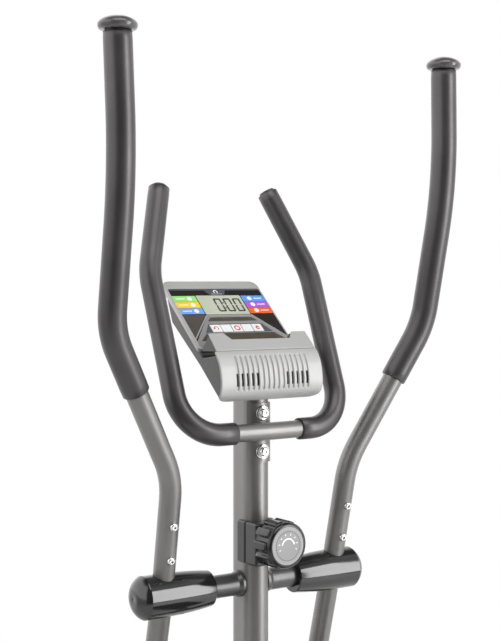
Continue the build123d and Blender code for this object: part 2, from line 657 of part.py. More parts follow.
with BuildPart() as crank_bearings:
    for x in (bracket_x[0], bracket_x[1] - 12):
        with BuildSketch(Plane.YZ.offset(x)):
            with Locations((crank_y, crank_z)):
                Circle(bearing_r)
                Circle(crank_axle_r + bushing_clearance, mode=Mode.SUBTRACT)
        extrude(amount=12)
save(crank_bearings, "crank_bearings")

with BuildPart() as crank_axle:
    with BuildSketch(Plane.YZ.offset(-crank_x[1])):
        with Locations((crank_y, crank_z)):
            Circle(crank_axle_r)
    extrude(amount=2 * crank_x[1])
save(crank_axle, "crank_axle")

for side, s in sides:
    with BuildPart() as crank_arm:
        with BuildSketch(Plane.YZ.offset(min(s * crank_x[0], s * crank_x[1]))):
            with BuildLine():
                CenterArc((crank_y, crank_z), 21, 0, 360)
                CenterArc((crank_y, crank_z + s * crank_r), 15, 0, 360)
            make_hull()
            with Locations((crank_y, crank_z)):
                Circle(crank_axle_r, mode=Mode.SUBTRACT)
        extrude(amount=crank_x[1] - crank_x[0])
    save(crank_arm, side + "_crank")

with BuildPart() as drive_pulley:
    with BuildSketch(Plane.YZ.offset(pulley_x[0])):
        with Locations((crank_y, crank_z)):
            Circle(pulley_r)
            Circle(crank_axle_r, mode=Mode.SUBTRACT)
            with PolarLocations(74, 6):
                Circle(26, mode=Mode.SUBTRACT)
    extrude(amount=pulley_x[1] - pulley_x[0])
    with BuildSketch(Plane.YZ.offset(pulley_x[0] + 1.2)):
        with Locations((crank_y, crank_z)):
            Circle(pulley_r + 5)
            Circle(pulley_seat, mode=Mode.SUBTRACT)
    extrude(amount=pulley_x[1] - pulley_x[0] - 2.4, mode=Mode.SUBTRACT)
save(drive_pulley, "drive_pulley")

with BuildPart() as drive_belt:
    for grow, mode in ((belt_gap + belt_thick, Mode.ADD), (belt_gap, Mode.SUBTRACT)):
        with BuildSketch(Plane.YZ.offset((pulley_x[0] + pulley_x[1] - belt_width) / 2)):
            with BuildLine():
                CenterArc((crank_y, crank_z), pulley_seat + grow, 0, 360)
                CenterArc((flywheel_y, flywheel_z), small_seat + grow, 0, 360)
            make_hull()
        extrude(amount=belt_width, mode=mode)
save(drive_belt, "drive_belt")

with BuildPart() as flywheel:
    with BuildSketch(Plane.XY.offset(flywheel_z)):
        with BuildLine():
            edge = [(flywheel_x[0] - 6, 8), (flywheel_x[0] - 6, 22), (-9, 26), (-9, 84), (flywheel_x[0], 90),
                    (flywheel_x[0], flywheel_r), (flywheel_x[1], flywheel_r), (flywheel_x[1], 90), (-3, 84),
                    (-3, 26), (flywheel_x[1], 20), (pulley_x[0], 20), (pulley_x[0], small_pulley_r),
                    (pulley_x[0] + 1.2, small_pulley_r), (pulley_x[0] + 1.2, small_seat),
                    (pulley_x[1] - 1.2, small_seat), (pulley_x[1] - 1.2, small_pulley_r),
                    (pulley_x[1], small_pulley_r), (pulley_x[1], flywheel_axle_r + bushing_clearance),
                    (flywheel_x[0] - 6, flywheel_axle_r + bushing_clearance)]
            Polyline(*[(x, flywheel_y + r) for x, r in edge], close=True)
        make_face()
    revolve(axis=Axis((0, flywheel_y, flywheel_z), (1, 0, 0)))
save(flywheel, "flywheel")

with BuildPart() as flywheel_axle:
    with BuildSketch(Plane.YZ.offset(-50)):
        with Locations((flywheel_y, flywheel_z)):
            Circle(flywheel_axle_r)
    extrude(amount=100)
    for x in (dropout_x[0] - dropout_thick - 6, dropout_x[1] + dropout_thick):
        with BuildSketch(Plane.YZ.offset(x)):
            with Locations((flywheel_y, flywheel_z)):
                RegularPolygon(10, 6)
        extrude(amount=6)
save(flywheel_axle, "flywheel_axle")

# magnet bracket: a channel round the flywheel's front rim, hinged at its foot
with BuildPart() as magnet_bracket:
    arc_from, arc_to = -30.0, 35.0
    for radii, span in (((104.0, 131.0), (flywheel_x[0] - 8, flywheel_x[0] - 4)),
                        ((104.0, 131.0), (flywheel_x[1] + 4, flywheel_x[1] + 8)),
                        ((129.0, 133.0), (flywheel_x[0] - 8, flywheel_x[1] + 8))):
        with BuildSketch(Plane.YZ.offset(span[0])):
            with BuildLine():
                a, b = math.radians(arc_from), math.radians(arc_to)
                outer_arc = CenterArc((flywheel_y, flywheel_z), radii[1], arc_from, arc_to - arc_from)
                inner_arc = CenterArc((flywheel_y, flywheel_z), radii[0], arc_from, arc_to - arc_from)
                Line(outer_arc @ 0, inner_arc @ 0)
                Line(outer_arc @ 1, inner_arc @ 1)
            make_face()
        extrude(amount=span[1] - span[0])
    with BuildSketch(Plane.YZ.offset(-11.6)):
        with BuildLine():
            CenterArc((magnet_pivot_y, magnet_pivot_z), 9, 0, 360)
            CenterArc((flywheel_y + 136 * math.cos(math.radians(-15)),
                       flywheel_z + 136 * math.sin(math.radians(-15))), 6, 0, 360)
        make_hull()
        with Locations((magnet_pivot_y, magnet_pivot_z)):
            Circle(4 + bushing_clearance, mode=Mode.SUBTRACT)
    extrude(amount=23.2)
save(magnet_bracket, "magnet_bracket")

# ---------------------------------------------------------------- housing
housing_half, housing_wall, housing_round = 56.0, 3.0, 16.0
housing_low = beam_top + 1.0
rear_lobe, front_lobe = ((crank_y, crank_z), 156.0), ((flywheel_y + 12, flywheel_z - 4), 164.0)



def housing_solid(s, shrink, start):
    """Rounded lobe shape from x = s * start outwards, made smaller all round by shrink."""
    with BuildPart() as lobe:
        with BuildSketch(Plane.YZ.offset(s * start)):
            with BuildLine():
                for centre, radius in (rear_lobe, front_lobe):
                    CenterArc(centre, radius - shrink, 0, 360)
            make_hull()
        extrude(amount=s * (housing_half - shrink - start))
        fillet(lobe.faces().sort_by(Axis.X)[-1 if s > 0 else 0].edges(), housing_round - shrink)
    return lobe.part


for side, s in sides:
    shell, hollow = housing_solid(s, 0.0, 0.0), housing_solid(s, housing_wall, -1.0)
    with BuildPart() as housing:
        add(shell)
        add(hollow, mode=Mode.SUBTRACT)
        with Locations((0, 0, housing_low - 100)):
            Box(200, base_length, 200, mode=Mode.SUBTRACT)
        with Locations(((bracket_x[0] + bracket_x[1]) / 2, crank_y, housing_low + 15)):
            Box(34, 44, 60, mode=Mode.SUBTRACT)
        with BuildSketch(Plane.YZ.offset(s * (housing_half - 10))):
            with Locations((crank_y, crank_z)):
                Circle(14)
        extrude(amount=s * 20, mode=Mode.SUBTRACT)
    save(housing, side + "_housing")

# ---------------------------------------------------------------- pedal bars and pedals
pin_r, bar_bearing_r, bar_start = 8.0, 18.0, 36.0
bar_section = (28.0, 50.0)
cheek_gap, cheek_thick = 26.0, 4.0
pedal_size, pedal_wall, pedal_height = (140.0, 345.0), 4.0, 34.0
pedal_x, pedal_share = 155.0, 0.52

for side, s in sides:
    front = Vector(s * lower_pivot_x, lower_pivot_y, lower_pivot_z)
    rear = Vector(s * bar_rear_x, crank_y, crank_z + s * crank_r)
    along = (rear - front).normalized()
    across = along.cross(Vector(0, 0, 1)).normalized()
    length = (rear - front).length
    tilt = math.atan2(rear.Z - front.Z, -(rear.Y - front.Y))

    with BuildPart() as pedal_bar:
        with BuildSketch(Plane(origin=front + along * bar_start, x_dir=across, z_dir=along)):
            RectangleRounded(*bar_section, 5)
            RectangleRounded(bar_section[0] - 4, bar_section[1] - 4, 3, mode=Mode.SUBTRACT)
        extrude(amount=length - bar_start - bar_bearing_r + 5)
        for e in (-1, 1):                                 # cheeks round the arm's lower bushing
            with BuildSketch(Plane.YZ.offset(front.X + e * cheek_gap + (0 if e > 0 else -cheek_thick))):
                with BuildLine():
                    CenterArc((front.Y, front.Z), 17, 0, 360)
                    tip = front + along * 52
                    CenterArc((tip.Y, tip.Z), 17, 0, 360)
                make_hull()
                with Locations((front.Y, front.Z)):
                    Circle(5, mode=Mode.SUBTRACT)
            extrude(amount=cheek_thick)
        with BuildSketch(Plane(origin=front + along * bar_start, x_dir=across, z_dir=along)):
            with Locations((-along.X * bar_start / across.X, 0)):
                Rectangle(2 * cheek_gap + 4, 34)
        extrude(amount=5)
        with BuildSketch(Plane.YZ.offset(rear.X - 16)):
            with Locations((rear.Y, rear.Z)):
                Circle(bar_bearing_r)
        extrude(amount=32)
        with BuildSketch(Plane.YZ.offset(rear.X - 16)):
            with Locations((rear.Y, rear.Z)):
                Circle(pin_r)
        extrude(amount=32, mode=Mode.SUBTRACT)
        middle = front + along * (length * pedal_share)
        top_dir = across.cross(along)
        top_dir = top_dir if top_dir.Z > 0 else top_dir * -1
        with BuildSketch(Plane(origin=middle + top_dir * (bar_section[1] / 2 - 0.5),
                               x_dir=Vector(1, 0, 0), z_dir=Vector(0, math.sin(tilt), math.cos(tilt)))):
            with Locations((s * pedal_x - middle.X, 0)):
                RectangleRounded(90, 150, 8)
        extrude(amount=4)
    save(pedal_bar, side + "_pedal_bar")

    deck_normal = Vector(0, math.sin(tilt), math.cos(tilt))
    deck = Plane(origin=Vector(s * pedal_x, middle.Y, middle.Z) + deck_normal * (bar_section[1] / 2 + 4.0),
                 x_dir=Vector(1, 0, 0), z_dir=deck_normal)
    with BuildPart() as pedal:
        with BuildSketch(deck):
            RectangleRounded(*pedal_size, 34)
        extrude(amount=pedal_height)
        with BuildSketch(deck.offset(8)):
            RectangleRounded(pedal_size[0] - 2 * pedal_wall, pedal_size[1] - 2 * pedal_wall, 30)
        extrude(amount=pedal_height, mode=Mode.SUBTRACT)
    save(pedal, side + "_pedal")

    with BuildPart() as bar_pins:
        with BuildSketch(Plane.YZ.offset(front.X - cheek_gap - cheek_thick - 4)):
            with Locations((front.Y, front.Z)):
                Circle(5)
        extrude(amount=2 * (cheek_gap + cheek_thick + 4))
        for e in (-1, 1):
            with BuildSketch(Plane.YZ.offset(front.X + e * (cheek_gap + cheek_thick))):
                with Locations((front.Y, front.Z)):
                    RegularPolygon(8.5, 6)
            extrude(amount=e * 6)
        pin_in = crank_x[1] + 0.8
        with BuildSketch(Plane.YZ.offset(s * pin_in)):
            with Locations((rear.Y, rear.Z)):
                Circle(pin_r)
        extrude(amount=s * (bar_rear_x + 16 - pin_in))
        with BuildSketch(Plane.YZ.offset(s * pin_in)):
            with Locations((rear.Y, rear.Z)):
                Circle(13)
        extrude(amount=s * (bar_rear_x - 16 - pin_in))
        with BuildSketch(Plane.YZ.offset(s * (bar_rear_x + 16))):
            with Locations((rear.Y, rear.Z)):
                RegularPolygon(12, 6)
        extrude(amount=s * 8)
    save(bar_pins, side + "_bar_pins")
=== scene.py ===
import bpy
import bmesh
import json
import math
from mathutils import Vector, Matrix


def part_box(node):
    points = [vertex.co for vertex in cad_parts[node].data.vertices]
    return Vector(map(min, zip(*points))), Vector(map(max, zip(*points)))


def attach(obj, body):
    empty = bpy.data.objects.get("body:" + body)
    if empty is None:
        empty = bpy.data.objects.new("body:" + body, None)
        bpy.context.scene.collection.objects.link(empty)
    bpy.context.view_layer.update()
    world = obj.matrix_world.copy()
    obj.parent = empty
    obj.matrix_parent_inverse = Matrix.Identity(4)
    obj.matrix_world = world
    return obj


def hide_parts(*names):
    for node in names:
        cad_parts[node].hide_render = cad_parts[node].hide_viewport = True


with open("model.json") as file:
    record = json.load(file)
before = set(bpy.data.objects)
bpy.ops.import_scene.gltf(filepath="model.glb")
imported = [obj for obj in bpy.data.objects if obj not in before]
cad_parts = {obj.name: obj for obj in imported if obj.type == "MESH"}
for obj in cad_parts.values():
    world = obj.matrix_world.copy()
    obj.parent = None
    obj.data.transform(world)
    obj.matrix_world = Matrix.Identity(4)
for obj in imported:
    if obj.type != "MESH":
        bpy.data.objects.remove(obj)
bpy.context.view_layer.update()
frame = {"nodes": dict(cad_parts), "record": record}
mm = 0.001
sides = (("left", -1), ("right", 1))

axleLow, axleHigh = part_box("pivot_axle")
axle = (axleLow + axleHigh) / 2          # every place below is given from here, in mm


def fromAxle(x, y, z):
    return axle + Vector((x, y, z)) * mm


# camera, light, floor
studio = {
    "cameraFrom": (-1093.8, -1617.5, 452.0),   # mm from the axle
    "heading": 34.04,                          # degrees right of straight ahead
    "lens": 72.98,
    "shiftY": -0.0622,
    "floorReach": 2.6,
}


def makeCamera():
    data = bpy.data.cameras.new("viewCamera")
    data.lens = studio["lens"]
    data.shift_y = studio["shiftY"]
    data.clip_end = 50
    camera = bpy.data.objects.new("viewCamera", data)
    bpy.context.scene.collection.objects.link(camera)
    camera.location = fromAxle(*studio["cameraFrom"])
    camera.rotation_euler = (math.radians(90), 0, -math.radians(studio["heading"]))
    bpy.context.scene.camera = camera


def softBox(name, place, target, size, power):
    data = bpy.data.lights.new(name, "AREA")
    data.shape = "RECTANGLE"
    data.size, data.size_y = size
    data.energy = power
    lamp = bpy.data.objects.new(name, data)
    bpy.context.scene.collection.objects.link(lamp)
    lamp.location = place
    aim = Vector(target) - Vector(place)
    lamp.rotation_euler = aim.to_track_quat("-Z", "Y").to_euler()


# brightness of the surroundings by direction, in degrees right of the way back to the camera
surround = {
    "base": 0.11, "baseLow": 0.04,
    "right": 0.8, "rightStart": (20.0, 60.0), "rightSoft": 8.0,
    "left": 2.3, "leftLow": 0.8, "leftStart": -30.0, "leftSoft": 7.0,
    "back": 1.6, "backStart": (78.0, 112.0),
    "topFade": (33.0, 50.0), "topFadeRight": (44.0, 64.0), "topChange": (98.0, 120.0),
    "lowFade": (-62.0, -40.0),
}


def makeLight():
    focus = fromAxle(0, 0, 250)
    softBox("keyAbove", focus + Vector((-0.4, -1.4, 2.8)), focus, (2.6, 2.0), 50)
    softBox("tallRight", fromAxle(1680, -2490, 600), fromAxle(0, 0, 150), (1.15, 2.9), 76)
    world = bpy.data.worlds.new("studioWorld")
    bpy.context.scene.world = world
    world.use_nodes = True
    nodes, links = world.node_tree.nodes, world.node_tree.links
    nodes.clear()

    def math2(kind, a, b=0.0):
        node = nodes.new("ShaderNodeMath")
        node.operation = kind
        for k, value in enumerate((a, b)):
            if isinstance(value, (int, float)):
                node.inputs[k].default_value = value
            else:
                links.new(value, node.inputs[k])
        return node.outputs[0]

    def step(value, low, high, top=1.0, bottom=0.0):
        node = nodes.new("ShaderNodeMapRange")
        node.interpolation_type = "SMOOTHSTEP"
        node.inputs["From Min"].default_value, node.inputs["From Max"].default_value = low, high
        node.inputs["To Min"].default_value, node.inputs["To Max"].default_value = bottom, top
        links.new(value, node.inputs["Value"])
        return node.outputs[0]

    v = surround
    out, mix, path = (nodes.new("ShaderNode" + kind) for kind in ("OutputWorld", "MixShader", "LightPath"))
    seen, around = nodes.new("ShaderNodeBackground"), nodes.new("ShaderNodeBackground")
    coords, turn, split = (nodes.new("ShaderNode" + kind) for kind in ("TexCoord", "Mapping", "SeparateXYZ"))
    turn.inputs["Rotation"].default_value = (0, 0, math.radians(studio["heading"]))
    links.new(coords.outputs["Generated"], turn.inputs["Vector"])
    links.new(turn.outputs[0], split.inputs[0])
    x, y, z = (split.outputs[k] for k in "XYZ")
    round_ = math2("MULTIPLY", math2("ARCTAN2", x, math2("MULTIPLY", y, -1.0)), 180 / math.pi)
    height = math2("MULTIPLY", math2("ARCSINE", z), 180 / math.pi)
    start = step(height, -12.0, 10.0, v["rightStart"][1], v["rightStart"][0])
    right = step(math2("SUBTRACT", round_, start), -v["rightSoft"], v["rightSoft"], v["right"])
    low = step(height, -9.0, 3.0, v["left"], v["leftLow"])
    leftEdge = step(round_, v["leftStart"] - v["leftSoft"], v["leftStart"] + v["leftSoft"], 0.0, 1.0)
    left = math2("MULTIPLY", leftEdge, low)
    back = step(math2("ABSOLUTE", round_), *v["backStart"], v["back"])
    zones = math2("MAXIMUM", math2("MAXIMUM", right, left), back)
    backward = step(round_, *v["topChange"])
    topRight, topBack = (step(height, *v[key], 0.0, 1.0) for key in ("topFadeRight", "topFade"))
    forward = math2("SUBTRACT", 1.0, backward)
    top = math2("ADD", math2("MULTIPLY", topBack, backward), math2("MULTIPLY", topRight, forward))
    fades = math2("MULTIPLY", top, step(height, *v["lowFade"]))
    total = math2("ADD", math2("MULTIPLY", zones, fades), step(height, -16.0, 3.0, v["base"], v["baseLow"]))
    seen.inputs["Color"].default_value = (1, 1, 1, 1)
    links.new(total, around.inputs["Strength"])
    links.new(path.outputs["Is Camera Ray"], mix.inputs[0])
    links.new(around.outputs[0], mix.inputs[1])
    links.new(seen.outputs[0], mix.inputs[2])
    links.new(mix.outputs[0], out.inputs[0])
    bpy.context.scene.view_settings.view_transform = "Standard"


def makeFloor():
    bm = bmesh.new()
    bmesh.ops.create_circle(bm, cap_ends=True, segments=96, radius=studio["floorReach"])
    floor = meshObject("studioFloor", bm, paleFloor())


# node materials
def startMaterial(name, colour, roughness, metallic=0.0):
    material = bpy.data.materials.new(name)
    material.use_nodes = True
    tree = material.node_tree
    shader = tree.nodes["Principled BSDF"]
    shader.inputs["Roughness"].default_value = roughness
    shader.inputs["Metallic"].default_value = metallic
    shader.inputs["Base Color"].default_value = (*colour, 1)
    material.diffuse_color = (*colour, 1)
    return material, tree, shader


# noise in the object's own metres
def grain(tree, scale, detail=3.0, stretch=(1, 1, 1)):
    coords, mapping = tree.nodes.new("ShaderNodeTexCoord"), tree.nodes.new("ShaderNodeMapping")
    noise = tree.nodes.new("ShaderNodeTexNoise")
    mapping.inputs["Scale"].default_value = stretch
    noise.inputs["Scale"].default_value = scale
    noise.inputs["Detail"].default_value = detail
    tree.links.new(coords.outputs["Object"], mapping.inputs["Vector"])
    tree.links.new(mapping.outputs[0], noise.inputs["Vector"])
    return noise.outputs["Fac"]


def tint(tree, shader, factor, colour, spread):
    ramp = tree.nodes.new("ShaderNodeValToRGB")
    low, high = [tuple(min(1.0, c * (1 + s * spread)) for c in colour) for s in (-1, 1)]
    ramp.color_ramp.elements[0].position, ramp.color_ramp.elements[1].position = 0.3, 0.7
    ramp.color_ramp.elements[0].color, ramp.color_ramp.elements[1].color = (*low, 1), (*high, 1)
    tree.links.new(factor, ramp.inputs["Fac"])
    tree.links.new(ramp.outputs[0], shader.inputs["Base Color"])


def roughen(tree, shader, factor, low, high):
    spread = tree.nodes.new("ShaderNodeMapRange")
    spread.inputs["To Min"].default_value, spread.inputs["To Max"].default_value = low, high
    tree.links.new(factor, spread.inputs["Value"])
    tree.links.new(spread.outputs[0], shader.inputs["Roughness"])


def bump(tree, shader, factor, depth, strength=1.0):
    node = tree.nodes.new("ShaderNodeBump")
    node.inputs["Distance"].default_value = depth
    node.inputs["Strength"].default_value = strength
    tree.links.new(factor, node.inputs["Height"])
    tree.links.new(node.outputs[0], shader.inputs["Normal"])


def finish(name, colour, roughness, metallic=0.0, spread=0.06, grainScale=900.0, depth=0.00002,
           roughSpread=0.05, blotch=14.0, coat=0.0, stretch=(1, 1, 1), ior=1.5):
    # blotchy colour and roughness over a fine surface grain
    material, tree, shader = startMaterial(name, colour, roughness, metallic)
    shader.inputs["IOR"].default_value = ior
    tint(tree, shader, grain(tree, blotch, 4.0), colour, spread)
    roughen(tree, shader, grain(tree, blotch * 3, 3.0), roughness - roughSpread, roughness + roughSpread)
    if depth:
        bump(tree, shader, grain(tree, grainScale, 2.0, stretch), depth)
    if coat:
        shader.inputs["Coat Weight"].default_value = coat
        shader.inputs["Coat Roughness"].default_value = 0.06
    return material


def paleFloor():
    material, tree, shader = startMaterial("paleFloor", (0.86, 0.86, 0.86), 0.6)
    tint(tree, shader, grain(tree, 3.0), (0.86, 0.86, 0.86), 0.01)
    gradient, coords = tree.nodes.new("ShaderNodeTexGradient"), tree.nodes.new("ShaderNodeTexCoord")
    mapping, fade = tree.nodes.new("ShaderNodeMapping"), tree.nodes.new("ShaderNodeMapRange")
    gradient.gradient_type = "SPHERICAL"                 # floor melts into the backdrop at its rim
    mapping.inputs["Scale"].default_value = (1 / studio["floorReach"],) * 3
    fade.inputs["From Max"].default_value = 0.45
    tree.links.new(coords.outputs["Object"], mapping.inputs["Vector"])
    tree.links.new(mapping.outputs[0], gradient.inputs["Vector"])
    tree.links.new(gradient.outputs["Fac"], fade.inputs["Value"])
    tree.links.new(fade.outputs[0], shader.inputs["Alpha"])
    return material


paints = {
    "frame_paint": dict(colour=(0.215, 0.210, 0.206), roughness=0.42, metallic=0.8, depth=0.000012,
                        grainScale=1500.0, spread=0.05),
    "black_paint": dict(colour=(0.10, 0.098, 0.098), roughness=0.34, metallic=0.6, depth=0.00001),
    "foam": dict(colour=(0.085, 0.081, 0.083), roughness=0.40, metallic=0.8, spread=0.10, grainScale=1500.0,
                 depth=0.00003),
    "cap_plastic": dict(colour=(0.075, 0.070, 0.070), roughness=0.27, depth=0.00001, coat=0.3),
    "gloss_black": dict(colour=(0.012, 0.0115, 0.0115), roughness=0.11, roughSpread=0.03, depth=0.000004,
                        grainScale=120.0, ior=1.65),
    "knob_black": dict(colour=(0.024, 0.0232, 0.0232), roughness=0.33, depth=0.00002, grainScale=1600.0),
    "zinc": dict(colour=(0.78, 0.78, 0.77), roughness=0.22, metallic=1.0, depth=0.00001),
    "console_silver": dict(colour=(0.44, 0.437, 0.434), roughness=0.56, metallic=0.4, depth=0.000012,
                           grainScale=2200.0, spread=0.03),
    "console_dark": dict(colour=(0.085, 0.083, 0.083), roughness=0.46, depth=0.00005, grainScale=1300.0),
    "display_glass": dict(colour=(0.35, 0.40, 0.33), roughness=0.12, depth=0.0),
    "key_white": dict(colour=(0.82, 0.82, 0.82), roughness=0.25, spread=0.02, depth=0.000004),
    "board_green": dict(colour=(0.03, 0.16, 0.07), roughness=0.4),
    "bronze": dict(colour=(0.55, 0.38, 0.20), roughness=0.35, metallic=1.0),
    "steel": dict(colour=(0.55, 0.55, 0.56), roughness=0.28, metallic=1.0, stretch=(30, 1, 1), depth=0.00001),
    "iron": dict(colour=(0.10, 0.10, 0.105), roughness=0.45, metallic=0.8, depth=0.0001, grainScale=500.0),
    "belt_rubber": dict(colour=(0.018, 0.018, 0.018), roughness=0.6, depth=0.00005),
    "wheel_rubber": dict(colour=(0.026, 0.026, 0.027), roughness=0.5, depth=0.00004),
    "pulley_plastic": dict(colour=(0.045, 0.045, 0.047), roughness=0.42, depth=0.00004),
    "pedal_plastic": dict(colour=(0.032, 0.032, 0.033), roughness=0.45, depth=0.00008, grainScale=900.0),
    "housing_plastic": dict(colour=(0.060, 0.059, 0.060), roughness=0.40, depth=0.00005, grainScale=1100.0),
}
made = {}


def paint(slot):
    if slot not in made:
        made[slot] = finish(slot, **paints[slot])
    return made[slot]


# mesh helpers
def meshObject(name, bm, material, smooth=True, slot=None, body=None):
    bmesh.ops.recalc_face_normals(bm, faces=bm.faces)
    mesh = bpy.data.meshes.new(name)
    bm.to_mesh(mesh)
    bm.free()
    thing = bpy.data.objects.new(name, mesh)
    bpy.context.scene.collection.objects.link(thing)
    mesh.materials.append(material)
    if smooth:
        mesh.shade_smooth()
    if body:
        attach(thing, body)
    return thing


def bevelled(thing, width, segments=3, angle=35):
    modifier = thing.modifiers.new("edges", "BEVEL")
    modifier.width, modifier.segments = width, segments
    modifier.limit_method, modifier.angle_limit = "ANGLE", math.radians(angle)
    modifier.harden_normals = True


# joins rows of points into a quad surface
def loopSurface(bm, loops, closedAround=True, closedAlong=False, cap=False):
    rows = [[bm.verts.new(p) for p in loop] for loop in loops]
    count = len(rows[0])
    pairs = list(zip(rows, rows[1:])) + ([(rows[-1], rows[0])] if closedAlong else [])
    for a, b in pairs:
        for i in range(count if closedAround else count - 1):
            j = (i + 1) % count
            bm.faces.new((a[i], a[j], b[j], b[i]))
    if cap:
        bm.faces.new(rows[0])
        bm.faces.new(rows[-1])
    return rows


# closed profile of (radius, height) turned about an axis
def turned(name, profile, origin, axis, material, segments=64, **kw):
    axis = Vector(axis).normalized()
    u = axis.orthogonal().normalized()
    v = axis.cross(u)
    bm = bmesh.new()
    loops = []
    for k in range(segments):
        a = 2 * math.pi * k / segments
        out = u * math.cos(a) + v * math.sin(a)
        loops.append([Vector(origin) + out * (r * mm) + axis * (h * mm) for r, h in profile])
    loopSurface(bm, loops, closedAround=False, closedAlong=True)
    bmesh.ops.remove_doubles(bm, verts=bm.verts, dist=1e-7)
    return meshObject(name, bm, material, **kw)


# outline of a rectangle with round corners, x across and t along, radii at the high and low end
def roundedBox(halfX, low, high, radii, steps=8):
    points = []
    up, down = radii if isinstance(radii, tuple) else (radii, radii)
    corners = ((halfX - up, high - up, 0, up), (-halfX + up, high - up, 90, up),
               (-halfX + down, low + down, 180, down), (halfX - down, low + down, 270, down))
    for cx, cy, start, radius in corners:
        for k in range(steps + 1):
            a = math.radians(start + 90 * k / steps)
            points.append((cx + radius * math.cos(a), cy + radius * math.sin(a)))
    return points


# straight runs with round corners, as evenly spaced points
def cornerPath(points, radii, step=3.0):
    points = [Vector(p) for p in points]
    out = [points[0]]
    for i in range(1, len(points) - 1):
        back, ahead = (points[i - 1] - points[i]).normalized(), (points[i + 1] - points[i]).normalized()
        half = back.angle(ahead) / 2
        reach = radii[i - 1] / math.tan(half)
        centre = points[i] + (back + ahead).normalized() * (radii[i - 1] / math.sin(half))
        a, b = points[i] + back * reach - centre, points[i] + ahead * reach - centre
        sweep, pole = a.angle(b), a.cross(b).normalized()
        turns = max(4, int(sweep * radii[i - 1] / step))
        for k in range(turns + 1):
            out.append(centre + Matrix.Rotation(sweep * k / turns, 3, pole) @ a)
    out.append(points[-1])
    full = [out[0]]
    for a, b in zip(out, out[1:]):
        parts = max(1, int((b - a).length / (step * 4)))
        full += [a.lerp(b, (k + 1) / parts) for k in range(parts) if (b - a).length > 1e-4]
    return full


# round tube along a path in mm from the axle, its ends softly rounded
def sweptTube(name, path, outer, material, inner=0.0, segments=40, endRound=1.5, **kw):
    tangents = [(b - a).normalized() for a, b in zip(path, path[1:])]
    tangents.append(tangents[-1])
    u = tangents[0].orthogonal().normalized()
    frames = []
    for k, t in enumerate(tangents):
        if k:
            u = (tangents[k - 1].rotation_difference(t) @ u)
            u = (u - t * u.dot(t)).normalized()
        frames.append((path[k], u, t.cross(u), t))
    rings = []

    def ring(k, radius, slide=0.0):
        p, a, b, t = frames[k]
        rings.append([fromAxle(*(p + t * slide + (a * math.cos(w) + b * math.sin(w)) * radius))
                      for w in [2 * math.pi * i / segments for i in range(segments)]])

    last = len(path) - 1
    rounding = [(s, endRound * (1 - math.sin(s * math.pi / 2)), endRound * (1 - math.cos(s * math.pi / 2)))
                for s in (0.0, 0.35, 0.7)]
    for _, less, slide in rounding:
        ring(0, outer - less, slide)
    for k in range(1, last):
        ring(k, outer)
    for _, less, slide in reversed(rounding):
        ring(last, outer - less, -slide)
    if inner:
        for k in range(last, -1, -1):
            ring(k, inner)
    bm = bmesh.new()
    loopSurface(bm, rings, closedAlong=bool(inner), cap=not inner)
    return meshObject(name, bm, material, **kw)


makeCamera()
makeLight()
makeFloor()
print("studio ready")

# every CAD node first gets the finish of its slot
slotOf = {p["node"]: p["material_slot"] for p in frame["record"]["subparts"]}
for node, thing in frame["nodes"].items():
    thing.data.materials.clear()
    thing.data.materials.append(paint(slotOf[node]))
print("CAD nodes painted")

# console
console = {
    "origin": (0.0, 0.0, 347.0),           # bottom edge of the panel's face, from the axle
    "tilt": math.atan2(95, 108),
    "half": 88.0, "low": 6.0, "high": 158.0, "thick": 6.0, "corners": (13.0, 4.5),
    "filmHalf": 84.2, "filmLow": 9.0, "filmHigh": 139.0, "rimHeight": 0.9,
}
alongT = Vector((0, math.cos(console["tilt"]), math.sin(console["tilt"])))
outN = Vector((0, -math.sin(console["tilt"]), math.cos(console["tilt"])))


def onPanel(x, t, n=0.0):
    return fromAxle(*console["origin"]) + (Vector((x, 0, 0)) + alongT * t + outN * n) * mm


def panelRim():
    c = console
    up, down = c["corners"]
    top = c["rimHeight"]
    steps = ((0.0, -c["thick"]), (0.0, top - 2.4), (0.4, top - 1.1), (1.1, top - 0.4), (2.2, top))
    loops = []
    for s, n in steps:
        outline = roundedBox(c["half"] - s, c["low"] + s, c["high"] - s * 1.6, (up - s * 0.6, down - s * 0.6))
        loops.append([onPanel(x, t, n) for x, t in outline])
    inner = roundedBox(c["filmHalf"], c["filmLow"], c["filmHigh"], (4.0, 2.0))
    for n in (top - 0.1, 0.0, -c["thick"]):
        loops.append([onPanel(x, t, n) for x, t in inner])
    bm = bmesh.new()
    loopSurface(bm, loops, closedAlong=True)
    rim = meshObject("panelRim", bm, paint("console_silver"), slot="console_silver", body="frame")
    rim.data.set_sharp_from_angle(angle=math.radians(40))
    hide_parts("console_panel")


# flat shape on the panel, from low to height above its face
def decal(name, outline, height, material, slot, body="frame", low=0.0):
    bm = bmesh.new()
    bottom = [bm.verts.new(onPanel(x, t, low)) for x, t in outline]
    top = [bm.verts.new(onPanel(x, t, height)) for x, t in outline]
    count = len(outline)
    bm.faces.new(bottom)
    bm.faces.new(top)
    for i in range(count):
        j = (i + 1) % count
        bm.faces.new((bottom[i], bottom[j], top[j], top[i]))
    return meshObject(name, bm, material, smooth=False, slot=slot, body=body)


def disc(cx, ct, radius, count=28):
    return [(cx + radius * math.cos(2 * math.pi * k / count), ct + radius * math.sin(2 * math.pi * k / count))
            for k in range(count)]


def arcBand(cx, ct, radius, width, start, end, steps=24):
    points = []
    for r, order in ((radius + width / 2, range(steps + 1)), (radius - width / 2, range(steps, -1, -1))):
        for k in order:
            a = math.radians(start + (end - start) * k / steps)
            points.append((cx + r * math.cos(a), ct + r * math.sin(a)))
    return points


